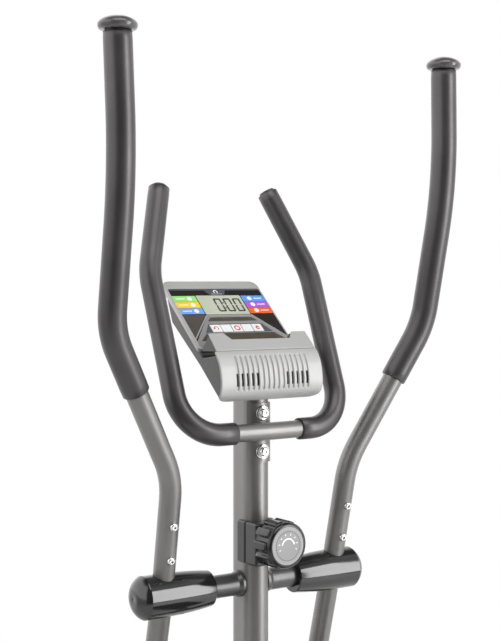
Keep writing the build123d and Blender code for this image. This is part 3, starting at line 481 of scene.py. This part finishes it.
film = {
    "black": finish("filmBlack", (0.018, 0.015, 0.013), 0.16, depth=0.0, spread=0.1, coat=0.4),
    "slate": finish("filmSlate", (0.115, 0.125, 0.155), 0.25, metallic=0.3, depth=0.0),
    "silver": finish("filmSilver", (0.36, 0.355, 0.36), 0.3, metallic=0.4, depth=0.0, spread=0.05),
    # olive and taupe: the film's dark print lifted by a painted reflection
    "oliveReflection": finish("filmOliveReflection", (0.13, 0.115, 0.085), 0.22, metallic=0.4, depth=0.0, spread=0.2, blotch=30),
    "line": finish("filmLine", (0.62, 0.61, 0.60), 0.25, metallic=0.6, depth=0.0),
    "lcd": finish("lcdGlass", (0.50, 0.53, 0.43), 0.14, depth=0.0, spread=0.05, blotch=20, coat=0.3),
    "digit": finish("lcdDigit", (0.055, 0.065, 0.05), 0.3, depth=0.0),
    "green": finish("tabGreen", (0.27, 0.72, 0.16), 0.3, depth=0.0),
    "yellow": finish("tabYellow", (0.93, 0.58, 0.02), 0.3, depth=0.0),
    "blue": finish("tabBlue", (0.17, 0.36, 0.78), 0.3, depth=0.0),
    "sky": finish("tabSky", (0.11, 0.32, 0.84), 0.3, depth=0.0),
    "purple": finish("tabPurple", (0.40, 0.11, 0.66), 0.3, depth=0.0),
    "orange": finish("tabOrange", (0.84, 0.12, 0.014), 0.3, depth=0.0),
    "white": finish("printWhite", (0.85, 0.85, 0.85), 0.35, depth=0.0, spread=0.02),
    "red": finish("printRed", (0.72, 0.06, 0.03), 0.35, depth=0.0),
    "taupeReflection": finish("filmTaupeReflection", (0.105, 0.092, 0.082), 0.3, metallic=0.3, depth=0.0, spread=0.15, blotch=25),
    # near-black used as painted shade in gaps, slots and behind the vent
    "seam": finish("paintedShadeDark", (0.012, 0.012, 0.012), 0.5, depth=0.0),
}


def displayFilm():
    c = console
    whole = roundedBox(c["filmHalf"], c["filmLow"], c["filmHigh"], (4.0, 2.0))
    decal("displayFilm", whole, 0.2, film["black"], "console_silver", low=-c["thick"] + 1)
    layer = 0.32
    edge = 83.8
    line = {s: [(s * 39.0, 79.2), (s * 42.0, 79.2), (s * 83.9, 29.6), (s * 83.9, 25.6)] for s in (-1, 1)}
    # name, outline, colour, height above the first layer, underside
    for name, outline, colour, lift, low in (
            ("filmTopBorder", [(-83.6, 135.5), (83.6, 135.5), (83.6, 138.4), (-83.6, 138.4)],
             "slate", 0.0, 0.2),
            ("filmBadge", [(-20, 135.6), (-14, 125.2), (13.5, 125.2), (19.5, 135.6)], "slate", 0.0, 0.2),
            ("badgeRing", arcBand(0, 132.0, 3.2, 1.7, -50, 230), "white", 0.08, 0.25),
            ("badgeBar", [(-10, 126.2), (10, 126.2), (10, 128.0), (-10, 128.0)], "line", 0.08, 0.25),
            # the taupe field and the olive strips carry a painted reflection
            ("filmLeftField", [(-edge, 80.0), (-42.6, 80.0), (-edge, 31.0)], "taupeReflection", 0.0, 0.2),
            ("filmField", [(-40, 78.5), (40, 78.5), (edge, 28), (edge, 9.4), (-edge, 9.4), (-edge, 22)],
             "silver", 0.0, 0.2),
            ("filmLineLeft", line[-1], "line", 0.1, 0.2),
            ("filmLineRight", line[1], "line", 0.1, 0.2),
            ("filmLineTop", [(-41, 79.4), (41, 79.4), (40, 76.6), (-40, 76.6)], "line", 0.1, 0.2),
            ("stripUpper", [(-37, 73.6), (38, 73.6), (46, 65.0), (-45, 65.0)], "oliveReflection", 0.1, 0.2),
            ("stripKeys", [(-47.5, 59), (49.5, 59), (62, 40.2), (-60, 40.2)], "slate", 0.1, 0.2),
            ("stripLower", [(-60, 38.6), (63, 38.6), (79, 22.4), (-76, 22.4)], "oliveReflection", 0.1, 0.2)):
        decal(name, outline, layer + lift, film[colour], "console_silver", low=low)
    for k in range(5):
        x = (k - 2) * 18.8
        cell = [(x - 8.9, 41.2), (x + 8.9, 41.2), (x + 8.9, 57.2), (x - 8.9, 57.2)]
        decal(f"keyCell{k + 1}", cell, layer + 0.2, paint("key_white"), "key_white", low=0.2)
    # three tabs on each side of the window, with a round mark and a bar on each
    tabs = {"high": 122.8, "pitch": 13.9, "tall": 13.2, "inner": 42.2, "outer": 83.9}
    for s, names, mark, bar in ((-1, ("green", "yellow", "blue"), -54.5, (-79, -63)),
                                (1, ("sky", "purple", "orange"), 56.0, (64, 79))):
        for k, colour in enumerate(names):
            high = tabs["high"] - tabs["pitch"] * k
            low, inner, outer = high - tabs["tall"], s * tabs["inner"], s * tabs["outer"]
            decal("tab" + colour.title(), [(inner, low), (outer, low), (outer, high), (inner, high)],
                  layer, film[colour], "console_silver", low=0.2)
            decal(f"tabMark{colour.title()}", disc(mark, high - 6.5, 4.2), layer + 0.1, film["white"],
                  "console_silver", low=0.25)
            low, top = high - 7.4, high - 5.6
            decal(f"tabBar{colour.title()}", [(bar[0], low), (bar[1], low), (bar[1], top), (bar[0], top)],
                  layer + 0.1, film["white"], "console_silver", low=0.25)


# digit's edges: left at the first digit, pitch, base and size along the panel
lcd = {"left": -13.0, "pitch": 17.6, "base": 86.6, "height": 30.0, "width": 13.6, "thick": 3.0, "cut": 0.7}


def lcdWindow():
    pane = decal("lcdPane", roundedBox(40.6, 80.4, 123.6, 1.5), 0.3, film["lcd"], "display_glass", low=-3.8)
    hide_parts("display_window")
    height, width, thick, base, cut = (lcd[key] for key in ("height", "width", "thick", "base", "cut"))
    middle = base + height / 2
    for k in range(3):
        left = lcd["left"] + k * lcd["pitch"]
        right = left + width
        # the six lit bars of a nought: top, both on the right, bottom, both on the left
        for name, x0, t0, x1, t1 in (
                ("a", left + 1, base + height - thick, right - 1, base + height),
                ("b", right - thick, middle + cut, right, base + height - 1),
                ("c", right - thick, base + 1, right, middle - cut),
                ("d", left + 1, base, right - 1, base + thick),
                ("e", left, base + 1, left + thick, middle - cut),
                ("f", left, middle + cut, left + thick, base + height - 1)):
            outline = [(x0 + cut, t0), (x1 - cut, t0), (x1, t0 + cut), (x1, t1 - cut), (x1 - cut, t1),
                       (x0 + cut, t1), (x0, t1 - cut), (x0, t0 + cut)]
            decal(f"digit{k + 1}{name}", outline, 0.42, film["digit"], "display_glass", low=0.2)
    for k, t in enumerate((95.0, 107.5)):
        decal(f"colon{k + 1}", disc(2.6, t, 1.3, 12), 0.42, film["digit"], "display_glass", low=0.2)


def keyMarks():
    for name, outline, key in (
            ("markArrow", arcBand(-37.6, 49.0, 3.4, 1.5, -60, 170), "left_key"),
            ("markArrowHead", [(-43.6, 50.2), (-38.6, 50.2), (-41.2, 46.4)], "left_key"),
            ("markRing", arcBand(0, 49.0, 4.3, 2.2, 0, 359), "centre_key"),
            ("markDial", arcBand(37.6, 49.0, 2.5, 2.6, 20, 330), "right_key")):
        decal(name, outline, 0.98, film["red"], "key_white", body=key, low=0.85)


# dark shell under the panel, from the vent to the top edge
def consoleBase():
    outline = [(-40, 344.5), (-52, 324), (-55, 303), (-49, 287), (-44, 281), (7, 325.5), (89, 388),
               (104, 424), (99.6, 426.3), (0, 338.7)]
    half = console["half"] - 3.2
    bm = bmesh.new()
    loopSurface(bm, [[fromAxle(x, y, z) for y, z in outline] for x in (-half, half)], cap=True)
    base = meshObject("consoleShell", bm, paint("console_dark"), slot="console_dark", body="frame")
    bevelled(base, 0.0035, 4, 20)
    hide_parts("console_base", "circuit_board")


def consoleLedge():
    half, notchTop, notchLow, notchDeep, thick = 87.0, 61.0, 52.0, 13.0, 2.2
    lowEdge, highEdge = Vector((0, -43.4, 351.4)), Vector((0, -19.0, 375.4))
    rise = (highEdge - lowEdge)
    length = rise.length
    rise.normalize()
    normal = Vector((0, -rise.z, rise.y))
    sill = length - notchDeep
    outline = [(-half - 1.2, 0), (half + 1.2, 0), (half, length), (notchTop, length), (notchLow, sill),
               (-notchLow, sill), (-notchTop, length), (-half, length)]
    bm = bmesh.new()
    loops = [[fromAxle(*(lowEdge + Vector((x, 0, 0)) + rise * t + normal * n)) for x, t in outline]
             for n in (-thick, 0.0)]
    loopSurface(bm, loops, cap=True)
    plate = meshObject("ledgePlate", bm, paint("console_silver"), slot="console_silver", body="frame")
    bevelled(plate, 0.0008, 3)
    wedge = [(-42.2, 350.4), (-20.5, 372.0), (-17.0, 371.0), (0.5, 351.0), (0.5, 348.6), (-40, 350.0)]
    bm = bmesh.new()
    inset = half - 1.5
    for a, b in ((-inset, -notchLow - 6), (notchLow + 6, inset)):
        loopSurface(bm, [[fromAxle(x, y, z) for y, z in wedge] for x in (a, b)], cap=True)
    low = [(-42.2, 350.4), (-30.0, 362.4), (-22.0, 362.0), (0.5, 349.2), (0.5, 348.6), (-40, 350.0)]
    between = (-notchLow - 6.0, notchLow + 6.0)
    loopSurface(bm, [[fromAxle(x, y, z) for y, z in low] for x in between], cap=True)
    body = meshObject("ledgeBody", bm, paint("console_dark"), smooth=False, slot="console_dark",
                      body="frame")
    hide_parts("console_ledge")
    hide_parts("console_ledge")


vent = {
    "profile": [(-42.5, 350.2), (-47, 345.5), (-52, 338), (-57, 327), (-60, 312), (-60.6, 300), (-57.5, 289),
                (-51.5, 281.5), (-44, 277)],
    "half": 91.0, "corner": 17.0, "thick": 1.8,
    "count": 15, "pitch": 8.86, "grooveHalf": 2.5, "grooveDeep": 2.0, "grooveTop": 343.5, "grooveLow": 292.5,
    "slitHalf": 1.5, "slitTop": 318.0, "slitLow": 298.5,
}


# evenly spaced points on a Catmull-Rom curve
def smoothCurve(points, count):
    pts = [Vector(p) for p in points]
    pts = [2 * pts[0] - pts[1]] + pts + [2 * pts[-1] - pts[-2]]
    dense = []
    for i in range(1, len(pts) - 2):
        p0, p1, p2, p3 = pts[i - 1:i + 3]
        for k in range(24):
            u = k / 24
            dense.append(0.5 * (2 * p1 + (p2 - p0) * u + (2 * p0 - 5 * p1 + 4 * p2 - p3) * u * u
                                + (3 * p1 - p0 - 3 * p2 + p3) * u ** 3))
    dense.append(pts[-2])
    lengths = [0.0]
    for a, b in zip(dense, dense[1:]):
        lengths.append(lengths[-1] + (b - a).length)
    out, j = [], 0
    for k in range(count):
        want = lengths[-1] * k / (count - 1)
        while j < len(dense) - 2 and lengths[j + 1] < want:
            j += 1
        share = (want - lengths[j]) / max(1e-9, lengths[j + 1] - lengths[j])
        out.append(dense[j].lerp(dense[j + 1], min(1.0, share)))
    return out


def ventCover():
    v = vent
    rows = smoothCurve(v["profile"], 84)
    columns = 2 * int(v["half"] / 0.62)
    total = sum((b - a).length for a, b in zip(rows, rows[1:]))
    step = total / (len(rows) - 1)
    bm = bmesh.new()
    grid = []
    for i, p in enumerate(rows):
        back, ahead = rows[max(0, i - 1)], rows[min(len(rows) - 1, i + 1)]
        along = (ahead - back).normalized()
        inward = Vector((-along.y, along.x))
        if inward.x < 0:
            inward = -inward
        fromEnd = (len(rows) - 1 - i) * step
        half = v["half"]
        if fromEnd < v["corner"]:
            half -= v["corner"] - math.sqrt(max(0.0, v["corner"] ** 2 - (v["corner"] - fromEnd) ** 2))
        fromTop = i * step
        if fromTop < 6.0:
            half -= 0.9 * (1 - fromTop / 6.0) ** 2
        row = []
        for j in range(columns + 1):
            x = half * (2 * j / columns - 1)
            nearest = round(x / v["pitch"])
            deep = 0.0
            if abs(nearest) <= (v["count"] - 1) / 2 and half > v["half"] - 2:
                off = abs(x - nearest * v["pitch"])
                z = p.y
                high, low = v["grooveTop"] - v["grooveHalf"], v["grooveLow"] + v["grooveHalf"]
                endOff = max(0.0, z - high, low - z)
                reach = math.hypot(off, endOff)
                if reach < v["grooveHalf"]:
                    deep = v["grooveDeep"] * min(1.0, (1 - (reach / v["grooveHalf"]) ** 2) * 1.6)
            edge = half - abs(x)
            if edge < 2.2:
                deep += 2.2 - math.sqrt(max(0.0, 2.2 ** 2 - (2.2 - edge) ** 2))
            q = p + inward * deep
            row.append((x, q, p.y))
        grid.append(row)
    verts = [[bm.verts.new(fromAxle(x, q.x, q.y)) for x, q, _ in row] for row in grid]
    for i in range(len(verts) - 1):
        for j in range(columns):
            x = (grid[i][j][0] + grid[i][j + 1][0]) / 2
            z = (grid[i][j][2] + grid[i + 1][j][2]) / 2
            nearest = round(x / v["pitch"])
            slit = 3 <= abs(nearest) <= 7 and abs(x - nearest * v["pitch"]) < v["slitHalf"]
            if slit and v["slitLow"] < z < v["slitTop"]:
                continue
            bm.faces.new((verts[i][j], verts[i][j + 1], verts[i + 1][j + 1], verts[i + 1][j]))
    loose = [w for w in bm.verts if not w.link_faces]
    bmesh.ops.delete(bm, geom=loose, context="VERTS")
    cover = meshObject("ventCover", bm, paint("console_silver"), slot="console_silver", body="frame")
    shell = cover.modifiers.new("shell", "SOLIDIFY")
    shell.thickness, shell.offset = v["thick"] * mm, -1
    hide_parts("vent_cover")
    # near-black sheet behind the slits: painted shade of the console's inside
    back = [(-40.5, 343.5), (-50.5, 324), (-54.0, 303), (-50, 289), (-46, 290), (-48, 303), (-44, 324),
            (-36, 343)]
    bm = bmesh.new()
    loopSurface(bm, [[fromAxle(x, y + 0.8, z) for y, z in back] for x in (-82, 82)], cap=True)
    meshObject("ventShadeSheet", bm, film["seam"], smooth=False, slot="console_dark", body="frame")


panelRim()
displayFilm()
lcdWindow()
keyMarks()
consoleBase()
consoleLedge()
ventCover()
print("console built")

# tension knob
knob = {
    "height": 69.5, "back": -55.5, "front": -97.0, "lobes": 10, "bore": 6.0,
    "padRadius": 35.4, "grooveRadius": 29.6, "rimRadius": 33.6,
    "labelRadius": 27.6, "ringRadius": 21.2, "sink": 1.0,      # the label lies this far below the rim
}
# place along the axis, size, and how much of the lobed outline shows there
knobStations = [(-55.5, 0.80, 0.0), (-57.0, 0.97, 0.6), (-58.5, 1.0, 1.0), (-66, 1.0, 1.0), (-76, 1.0, 1.0),
                (-86, 1.0, 1.0), (-88.5, 1.0, 0.95), (-90.2, 1.0, 0.5), (-91.0, 1.0, 0.0)]


def tensionKnob():
    k = knob
    count = 240
    turns = [2 * math.pi * i / count for i in range(count)]

    def ring(radii, y):
        return [fromAxle(r * math.cos(a), y, k["height"] + r * math.sin(a)) for r, a in zip(radii, turns)]

    def lobed(size, share):
        radii = []
        for a in turns:
            pad = 1 / (1 + math.exp(-9 * (math.cos(k["lobes"] * a) + 0.30)))
            r = k["grooveRadius"] + (k["padRadius"] - k["grooveRadius"]) * pad
            radii.append((r * share + (k["rimRadius"] - 0.8) * (1 - share)) * size)
        return radii

    outer, edge, front, floor = k["rimRadius"], k["labelRadius"], k["front"], k["front"] + k["sink"]
    rim = [(outer - 0.2, -91.3), (outer, -91.9), (outer - 0.1, -92.8), (outer - 1.0, -94.6),
           (outer - 2.4, -96.2), (outer - 3.6, front), (edge + 0.5, front), (edge + 0.2, floor), (4.0, floor)]
    loops = [ring([k["bore"]] * count, k["back"])]
    loops += [ring(lobed(size, share), y) for y, size, share in knobStations]
    loops += [ring([r] * count, y) for r, y in rim]
    bm = bmesh.new()
    loopSurface(bm, loops, cap=True)
    gloss = finish("knobGloss", (0.009, 0.0085, 0.0085), 0.2, depth=0.0, spread=0.1, ior=1.5)
    grip = meshObject("knobGrip", bm, gloss, slot="knob_black", body="knob")
    grip.data.set_sharp_from_angle(angle=math.radians(48))
    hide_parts("tension_knob")


def knobFace():
    k = knob
    face, r, edge = -k["front"] - k["sink"], k["ringRadius"], k["labelRadius"]
    label = finish("knobLabel", (0.33, 0.328, 0.33), 0.5, metallic=0.15, depth=0.00001, grainScale=1500.0)
    inner = finish("knobDial", (0.27, 0.268, 0.27), 0.5, metallic=0.15, depth=0.00001, grainScale=1500.0)
    dark = finish("knobRing", (0.07, 0.07, 0.08), 0.4, depth=0.0)
    low, ringTop, dialTop = face + 0.5, face + 0.72, face + 0.66
    for name, profile, material in (
            ("knobLabel", [(0, face), (edge, face), (edge, face + 0.35), (edge - 0.5, face + 0.6),
                           (0, face + 0.6)], label),
            ("knobDial", [(0, low), (r, low), (r, dialTop), (0, dialTop)], inner),
            ("knobRing", [(r - 0.45, low), (r + 0.45, low), (r + 0.45, ringTop), (r - 0.45, ringTop)], dark)):
        turned(name, profile, fromAxle(0, 0, k["height"]), (0, -1, 0), material, slot="console_silver",
               body="knob", smooth=False)
    y = -face - 0.6

    def onFace(name, outline, material, lift=0.25):
        bm = bmesh.new()
        loops = [[fromAxle(x, y - n, k["height"] + z) for x, z in outline] for n in (-0.1, lift)]
        loopSurface(bm, loops, cap=True)
        meshObject(name, bm, material, smooth=False, slot="console_silver", body="knob")

    def mark(angle, low, high, half, centre=0.0):
        a = math.radians(angle)
        return [(r0 * math.cos(a + w), centre + r0 * math.sin(a + w))
                for r0, w in ((low, -half), (high, -half), (high, half), (low, half))]

    arc, headTurn = 10.4, math.radians(18)
    onFace("knobArc", arcBand(0, 0.0, arc, 2.0, 20, 172, 30), film["white"])
    x, z = arc * math.cos(headTurn), arc * math.sin(headTurn)
    onFace("knobArrow", [(x - 2.3, z + 1.2), (x + 2.6, z + 1.6), (x + 0.6, z - 2.6)], film["white"])
    for i in range(8):                       # level marks round the arrow
        onFace(f"knobLevel{i + 1}", mark(205 - 230 * i / 7, 14.2, 17.0, 0.035, 1.0), film["white"])
    for i in range(36):                      # fine marks on the outer ring
        onFace(f"knobTick{i + 1}", mark(10 * i, 22.2, 24.0, 0.012), dark, 0.12)


tensionKnob()
knobFace()
print("knob built")

# foam grips
armPath = {
    "straight": (152.8, 0.0294, 0.9, -0.2067),      # x, x per mm up, y, y per mm up
    "corner": 172.8, "gripStart": 299.0,
    "bend2": (275.8, -74.7, 383.3), "bend3": (282.2, -118.3, 601.0),
    "top": (286.1, -112.2, 779.0), "radii": (130.0, 700.0), "foam": 19.6, "bore": 16.0,
}
barPath = {
    "start": (57.0, -43.2, 229.9), "corner": (143.6, -40.5, 229.9), "bend": (146.2, 49.6, 463.9),
    "end": (100.3, 100.9, 592.6), "radii": (65.0, 120.0), "foam": 16.5, "bore": 13.1,
}


# centre of the handle's lower straight stretch
def onHandle(z):
    x, dx, y, dy = armPath["straight"]
    return Vector((x + dx * z, y + dy * z, z))


def foamGrips():
    a, b = armPath, barPath
    start, bend = onHandle(a["corner"]), Vector(a["bend2"])
    start = start.lerp(bend, (a["gripStart"] - start.z) / (bend.z - start.z))
    arm, bar = (start, bend, a["bend3"], a["top"]), (b["start"], b["corner"], b["bend"], b["end"])
    for side, s in sides:
        for name, node, body, route, size, endRound in (
                ("ArmFoam", "_arm_grip", side + "_arm", arm, a, 2.4),
                ("BarFoam", "_handlebar_grip", "frame", bar, b, 1.8)):
            path = cornerPath([(s * x, y, z) for x, y, z in route], size["radii"])
            sleeve = sweptTube(side + name, path, size["foam"], paint("foam"), inner=size["bore"],
                               endRound=endRound, slot="foam", body=body)
            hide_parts(side + node)


foamGrips()
print("foam grips built")

# caps on the handles, plugs in the bar ends
capShape = {
    "dome": [(0.0, 20.5), (9.0, 19.6), (17.5, 17.0), (23.6, 13.4), (26.6, 9.6), (27.0, 7.0), (26.2, 4.0),
             (24.4, 1.6), (22.6, 0.8)],
    "bore": 16.6, "depth": 11.0, "lip": 0.8,
    "plug": [(0, -14), (11.0, -14), (11.0, 0.2), (12.6, 0.2), (12.9, 0.8), (12.9, 2.4), (12.2, 3.2),
             (9.5, 3.6), (0, 3.7)],
}


def armCaps():
    bore, depth, lip = (capShape[key] for key in ("bore", "depth", "lip"))
    dome = [(max(0.0, p.x), p.y) for p in smoothCurve(capShape["dome"], 40)]
    dome += [(bore, lip), (bore, depth), (0.0, depth)]
    end, bend = Vector(barPath["end"]), Vector(barPath["bend"])
    for side, s in sides:
        low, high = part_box(side + "_arm_cap")
        under = Vector(((low.x + high.x) / 2, (low.y + high.y) / 2, low.z)) - Vector((0, 0, lip)) * mm
        cap = turned(side + "ArmCapDome", dome, under, (0, 0, 1), paint("cap_plastic"), segments=96,
                     slot="cap_plastic", body=side + "_arm")
        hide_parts(side + "_arm_cap")
        axis = Vector((s * (end.x - bend.x), end.y - bend.y, end.z - bend.z)).normalized()
        plug = turned(side + "BarPlug", capShape["plug"], fromAxle(s * end.x, end.y, end.z), axis,
                      paint("cap_plastic"), slot="cap_plastic", body="frame")
        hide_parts("handlebar_plugs")
        for piece in (cap, plug):
            piece.data.set_sharp_from_angle(angle=math.radians(50))


armCaps()

# bolts
boltShape = {
    "armZ": (57.0, 107.0), "armHead": 5.9, "armShank": [(0, -17), (3, -17), (3, 17), (0, 17)],
    "armNut": [(0, 16.2), (5.4, 16.2), (5.4, 19.6), (4.4, 20.6), (0, 20.6)],
    "barZ": (198.7, 255.8), "barHead": 7.4, "barShank": [(0, -12), (4, -12), (4, 1), (0, 1)], "saddle": 3.2,
    "washer": ((0.05, 1.9), (8.0, 1.9), (10.6, 1.9), (11.2, 1.5), (11.4, 0.9), (11.4, 0.05), (0.05, 0.05)),
}


# round head with a six-sided socket, standing on its base
def domedHead(name, origin, axis, radius, height, socket, slot, body, base=0.0):
    axis = Vector(axis).normalized()
    u = axis.orthogonal().normalized()
    v = axis.cross(u)
    count = 48

    def ring(r, h, hexed=False):
        points = []
        for k in range(count):
            a = 2 * math.pi * k / count
            size = r
            if hexed:
                size *= math.cos(math.pi / 6) / math.cos((a % (math.pi / 3)) - math.pi / 6)
            points.append(Vector(origin) + (u * math.cos(a) + v * math.sin(a)) * size * mm + axis * (h * mm))
        return points

    top = base + height
    loops = [ring(0.05, top - 2.2), ring(socket, top - 2.2, True), ring(socket, top - 0.15, True),
             ring(socket + 0.6, top)]
    for k in range(1, 7):
        a = math.pi / 2 * k / 6
        loops.append(ring(socket + 0.6 + (radius - socket - 0.6) * math.sin(a), base + height * 0.35
                          + height * 0.65 * math.cos(a)))
    loops += [ring(radius, base), ring(0.05, base)]
    bm = bmesh.new()
    loopSurface(bm, loops, cap=True)
    head = meshObject(name, bm, paint(slot), slot=slot, body=body)
    head.data.set_sharp_from_angle(angle=math.radians(40))
    return head


def armBolts():
    facing = Vector((0, -1, armPath["straight"][3])).normalized()
    for side, s in sides:
        for k, z in enumerate(boltShape["armZ"]):
            p = onHandle(z)
            at = Vector((s * p.x, p.y, p.z))
            body = side + "_arm"
            head = domedHead(f"{side}ArmBolt{k + 1}", fromAxle(*(at + facing * 15.6)), facing,
                             boltShape["armHead"], 4.0, 2.6, "zinc", body)
            shank = turned(f"{side}ArmShank{k + 1}", boltShape["armShank"], fromAxle(*at), facing,
                           paint("zinc"), segments=24, slot="zinc", body=body)
            nut = turned(f"{side}ArmNut{k + 1}", boltShape["armNut"], fromAxle(*at), -facing, paint("zinc"),
                         segments=6, slot="zinc", body=body, smooth=False)
            for piece in (head, shank, nut):
                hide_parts(side + "_arm_bolts")


# each washer is bent to the round of the saddle plate
def barBolts():
    low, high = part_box("mast")
    bend = (high.x - low.x) / 2 / mm + boltShape["saddle"]
    back = bend - boltShape["saddle"] - (high.y - low.y) / 2 / mm      # centre line of that round
    count = 64
    for k, z in enumerate(boltShape["barZ"]):
        rows = []
        for r, lift in boltShape["washer"]:
            row = []
            for i in range(count):
                a = 2 * math.pi * i / count
                turn, out = r * math.cos(a) / bend, bend + lift
                row.append(fromAxle(out * math.sin(turn), back - out * math.cos(turn), z + r * math.sin(a)))
            rows.append(row)
        bm = bmesh.new()
        loopSurface(bm, rows, cap=True)
        washer = meshObject(f"barWasher{k + 1}", bm, paint("zinc"), slot="zinc", body="frame")
        washer.data.set_sharp_from_angle(angle=math.radians(50))
        seat = fromAxle(0, back - bend - 1.6, z)
        head = domedHead(f"barBolt{k + 1}", seat, (0, -1, 0), boltShape["barHead"], 4.6, 3.3, "zinc", "frame")
        shank = turned(f"barShank{k + 1}", boltShape["barShank"], seat, (0, -1, 0), paint("zinc"),
                       segments=24, slot="zinc", body="frame")
        for piece in (washer, head, shank):
            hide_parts("handlebar_bolts")


armBolts()
barBolts()


housing = {"seam": -25.0, "gap": 0.4, "edge": 3.5, "sunk": 1.5, "seamWide": 6.0}


# block between two corners
def box(name, low, high, material, **kw):
    bm = bmesh.new()
    bmesh.ops.create_cube(bm, size=1.0)
    span, middle = high - low, (low + high) / 2
    for vert in bm.verts:
        vert.co = Vector([a * b for a, b in zip(vert.co, span)]) + middle
    return meshObject(name, bm, material, slot="knob_black", body="frame", **kw)


# two halves of the tension control's case, and a near-black strip of painted shade in the seam between them
def tensionHousing():
    low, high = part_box("tension_box")
    seam, gap = axle.y + housing["seam"] * mm, housing["gap"] * mm
    for name, near, far in (("Front", low.y, seam - gap), ("Back", seam + gap, high.y)):
        block = box("tensionHousing" + name, Vector((low.x, near, low.z)), Vector((high.x, far, high.z)),
                    paint("knob_black"))
        bevelled(block, housing["edge"] * mm, 5)
        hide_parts("tension_box")
    inset, half = housing["sunk"] * mm, housing["seamWide"] / 2 * mm
    box("tensionSeamShade", Vector((low.x + inset, seam - half, low.z + inset)),
        Vector((high.x - inset, seam + half, high.z - inset)), film["seam"], smooth=False)


tensionHousing()
notch = {
    "along": 129.0, "radius": 30.75, "half": (3.0, 1.5), "angles": (48.0, -62.0), "deep": 1.5, "proud": 0.12,
}


# small slots where the halves of each cover clip together, above and below, filled with near-black as painted
# shade
def coverNotches():
    halfX, halfV = notch["half"]
    outline = [(-halfX, -halfV), (halfX, -halfV), (halfX, halfV), (-halfX, halfV)]
    for side, s in sides:
        for k, angle in enumerate(notch["angles"]):
            a = math.radians(angle)
            out, across = Vector((0, -math.cos(a), math.sin(a))), Vector((0, math.sin(a), math.cos(a)))
            loops = []
            for lift in (-notch["deep"], notch["proud"]):
                centre = Vector((s * notch["along"], 0, 0)) + out * (notch["radius"] + lift)
                loops.append([fromAxle(*(centre + Vector((u, 0, 0)) + across * v)) for u, v in outline])
            bm = bmesh.new()
            loopSurface(bm, loops, cap=True)
            meshObject(f"{side}CoverNotchShade{k + 1}", bm, film["seam"], smooth=False, slot="gloss_black",
                       body=side + "_arm")


coverNotches()
print("small parts built")

bpy.context.view_layer.update()
